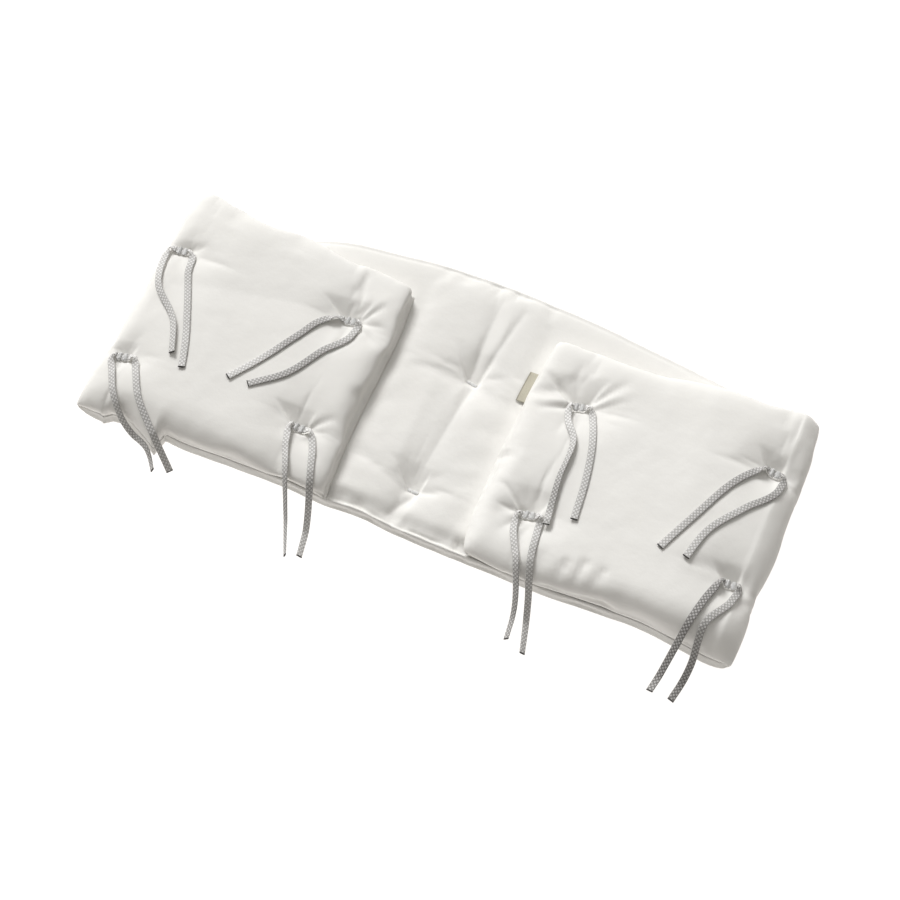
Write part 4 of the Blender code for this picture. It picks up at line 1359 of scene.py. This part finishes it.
def thread_finish():
    """Smooth polyester thread."""
    tree, shader = cloth_shader(thread_material, 0.45, 0.1, 0.5)
    coloured(tree, shader, mix(tree, flecks(tree, 900.0, 1.0), (0.66, 0.66, 0.66, 1), (0.86, 0.86, 0.85, 1)))


RIB = 0.45  # mm, from one rib of the label's weave to the next
TURNED_UNDER = 9.2  # mm from the flap's end to the label's turned edge


def label_material():
    """Beige woven label with a darker turned end."""
    material = bpy.data.materials.new("label_weave")
    tree, shader = cloth_shader(material, 0.75, 0.1)
    out, along_edge, _ = place_on(tree)
    ribs = ripple(tree, along_edge, RIB)
    cloth = mix(tree, ribs, (0.47, 0.44, 0.36, 1), (0.56, 0.53, 0.43, 1))
    end = calc(tree, "GREATER_THAN", out, TURNED_UNDER)
    colour = mix(tree, end, cloth, (0.33, 0.31, 0.25, 1))
    coloured(tree, shader, colour, bumped(tree, 0.5, 0.0002, ribs))
    return material


check_tape, label_weave = tape_material(), label_material()
thread_finish()
dress = [(pad, cotton), (label, label_weave)]
dress += [(piece, check_tape) for piece in sewn.values()]
dress += [(piece, check_tape) for piece, _ in tapes.values()]
dress += [(piece, thread_material) for piece in (*stitches.values(), *tacks.values())]
for piece, material in dress:
    piece.data.materials.clear()
    piece.data.materials.append(material)
pad_data.shade_smooth()
print(len(dress), "pieces dressed")

# %% [markdown]
# ## Each piece's place in the part
# Every shown piece stands for its solid in the imported model, which it hides, and rides on the one body.
# The tapes are declared as limp cords with their real length, the label as a sheet and the pad as padding.

# %% The part
TAPE, THREAD = "grey_check_tape", "white_thread"
stands_for = [(pad, "pad", "white_cotton"), (label, "label", "beige_label")]
stands_for += [(piece, f"tie_{number}_stitched", TAPE) for number, piece in sewn.items()]
stands_for += [(piece, f"tie_{number}_tape_{side}", TAPE) for (number, side), (piece, _) in tapes.items()]
stands_for += [(piece, name, THREAD) for name, piece in tacks.items()]
for piece, solid, slot in stands_for:
    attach(piece, "root")
    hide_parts(solid)
for piece in stitches.values():
    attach(piece, "root")
print(len(stands_for), "solids stood for,", len(tapes), "of them by cords")

# %% [markdown]
# ## The studio
#
# The strip lies on a plain white table that glows, a little more at the left, so that no shadow shows on
# it. One broad soft light stands behind it and to its left, and a pale surround fills the rest, brightest
# above, behind and to the left.

# %% Studio
FLOOR_SIDE, FLOOR_DROP = 40.0, 0.0002  # half its side, and how far it lies under the strip
FLOOR_COLOUR = (0.04, 0.04, 0.04, 1)
FLOOR_GLOW = (1.06, 1.03, 1.00, 1)
GLOW_LEFT, GLOW_RIGHT, GLOW_REACH = 1.15, 1.0, 0.4  # how strongly it glows at the two ends of the strip
SUN_FROM = (-0.52, 0.60, 0.62)
SUN_STRENGTH, SUN_WIDTH = 2.52, 22.0  # its width is in degrees
SKY_BRIGHT, SKY_DIM = (0.70, 0.695, 0.68, 1), (0.09, 0.08, 0.065, 1)
SKY_WAY = (-0.40, 0.35, 0.85)  # how much brighter it gets towards +X, +Y and +Z


def set_studio():
    """The floor, the broad light and the pale surround."""
    floor_mesh = bpy.data.meshes.new("floor")
    ends = (-FLOOR_SIDE, FLOOR_SIDE)
    corners = [(x, y, -FLOOR_DROP) for y, row in zip(ends, (ends, ends[::-1])) for x in row]
    floor_mesh.from_pydata(corners, [], [(0, 1, 2, 3)])
    floor = linked("floor", floor_mesh)
    paint = bpy.data.materials.new("floor_paint")
    paint.use_nodes = True
    tree = paint.node_tree
    shader = tree.nodes["Principled BSDF"]
    shader.inputs["Base Color"].default_value = FLOOR_COLOUR
    shader.inputs["Roughness"].default_value = 1.0
    shader.inputs["Specular IOR Level"].default_value = 0.0
    shader.inputs["Emission Color"].default_value = FLOOR_GLOW
    where = node(tree, "ShaderNodeTexCoord").outputs["Object"]
    across = node(tree, "ShaderNodeSeparateXYZ", {0: where}).outputs[0]
    limits = {"From Min": -GLOW_REACH, "From Max": GLOW_REACH, "To Min": GLOW_LEFT, "To Max": GLOW_RIGHT}
    glow = node(tree, "ShaderNodeMapRange", limits | {"Value": across}).outputs[0]
    tree.links.new(glow, shader.inputs["Emission Strength"])
    floor_mesh.materials.append(paint)

    sun = bpy.data.objects.new("broad_light", bpy.data.lights.new("broad_light", "SUN"))
    sun.data.energy = SUN_STRENGTH
    sun.data.angle = math.radians(SUN_WIDTH)
    sun.rotation_euler = Vector(SUN_FROM).to_track_quat("Z", "Y").to_euler()
    bpy.context.scene.collection.objects.link(sun)

    world = bpy.data.worlds.new("surround")
    bpy.context.scene.world = world
    world.use_nodes = True
    tree = world.node_tree
    where = node(tree, "ShaderNodeTexCoord").outputs["Generated"]
    parts = node(tree, "ShaderNodeSeparateXYZ", {0: where}).outputs
    x_part, y_part, z_part = (calc(tree, "MULTIPLY", part, much) for part, much in zip(parts, SKY_WAY))
    bright = calc(tree, "ADD", calc(tree, "ADD", z_part, y_part), x_part)
    colour = mix(tree, node(tree, "ShaderNodeClamp", {0: bright}).outputs[0], SKY_DIM, SKY_BRIGHT)
    tree.links.new(colour, tree.nodes["Background"].inputs["Color"])
    bpy.context.scene.view_settings.view_transform = "Standard"


set_studio()
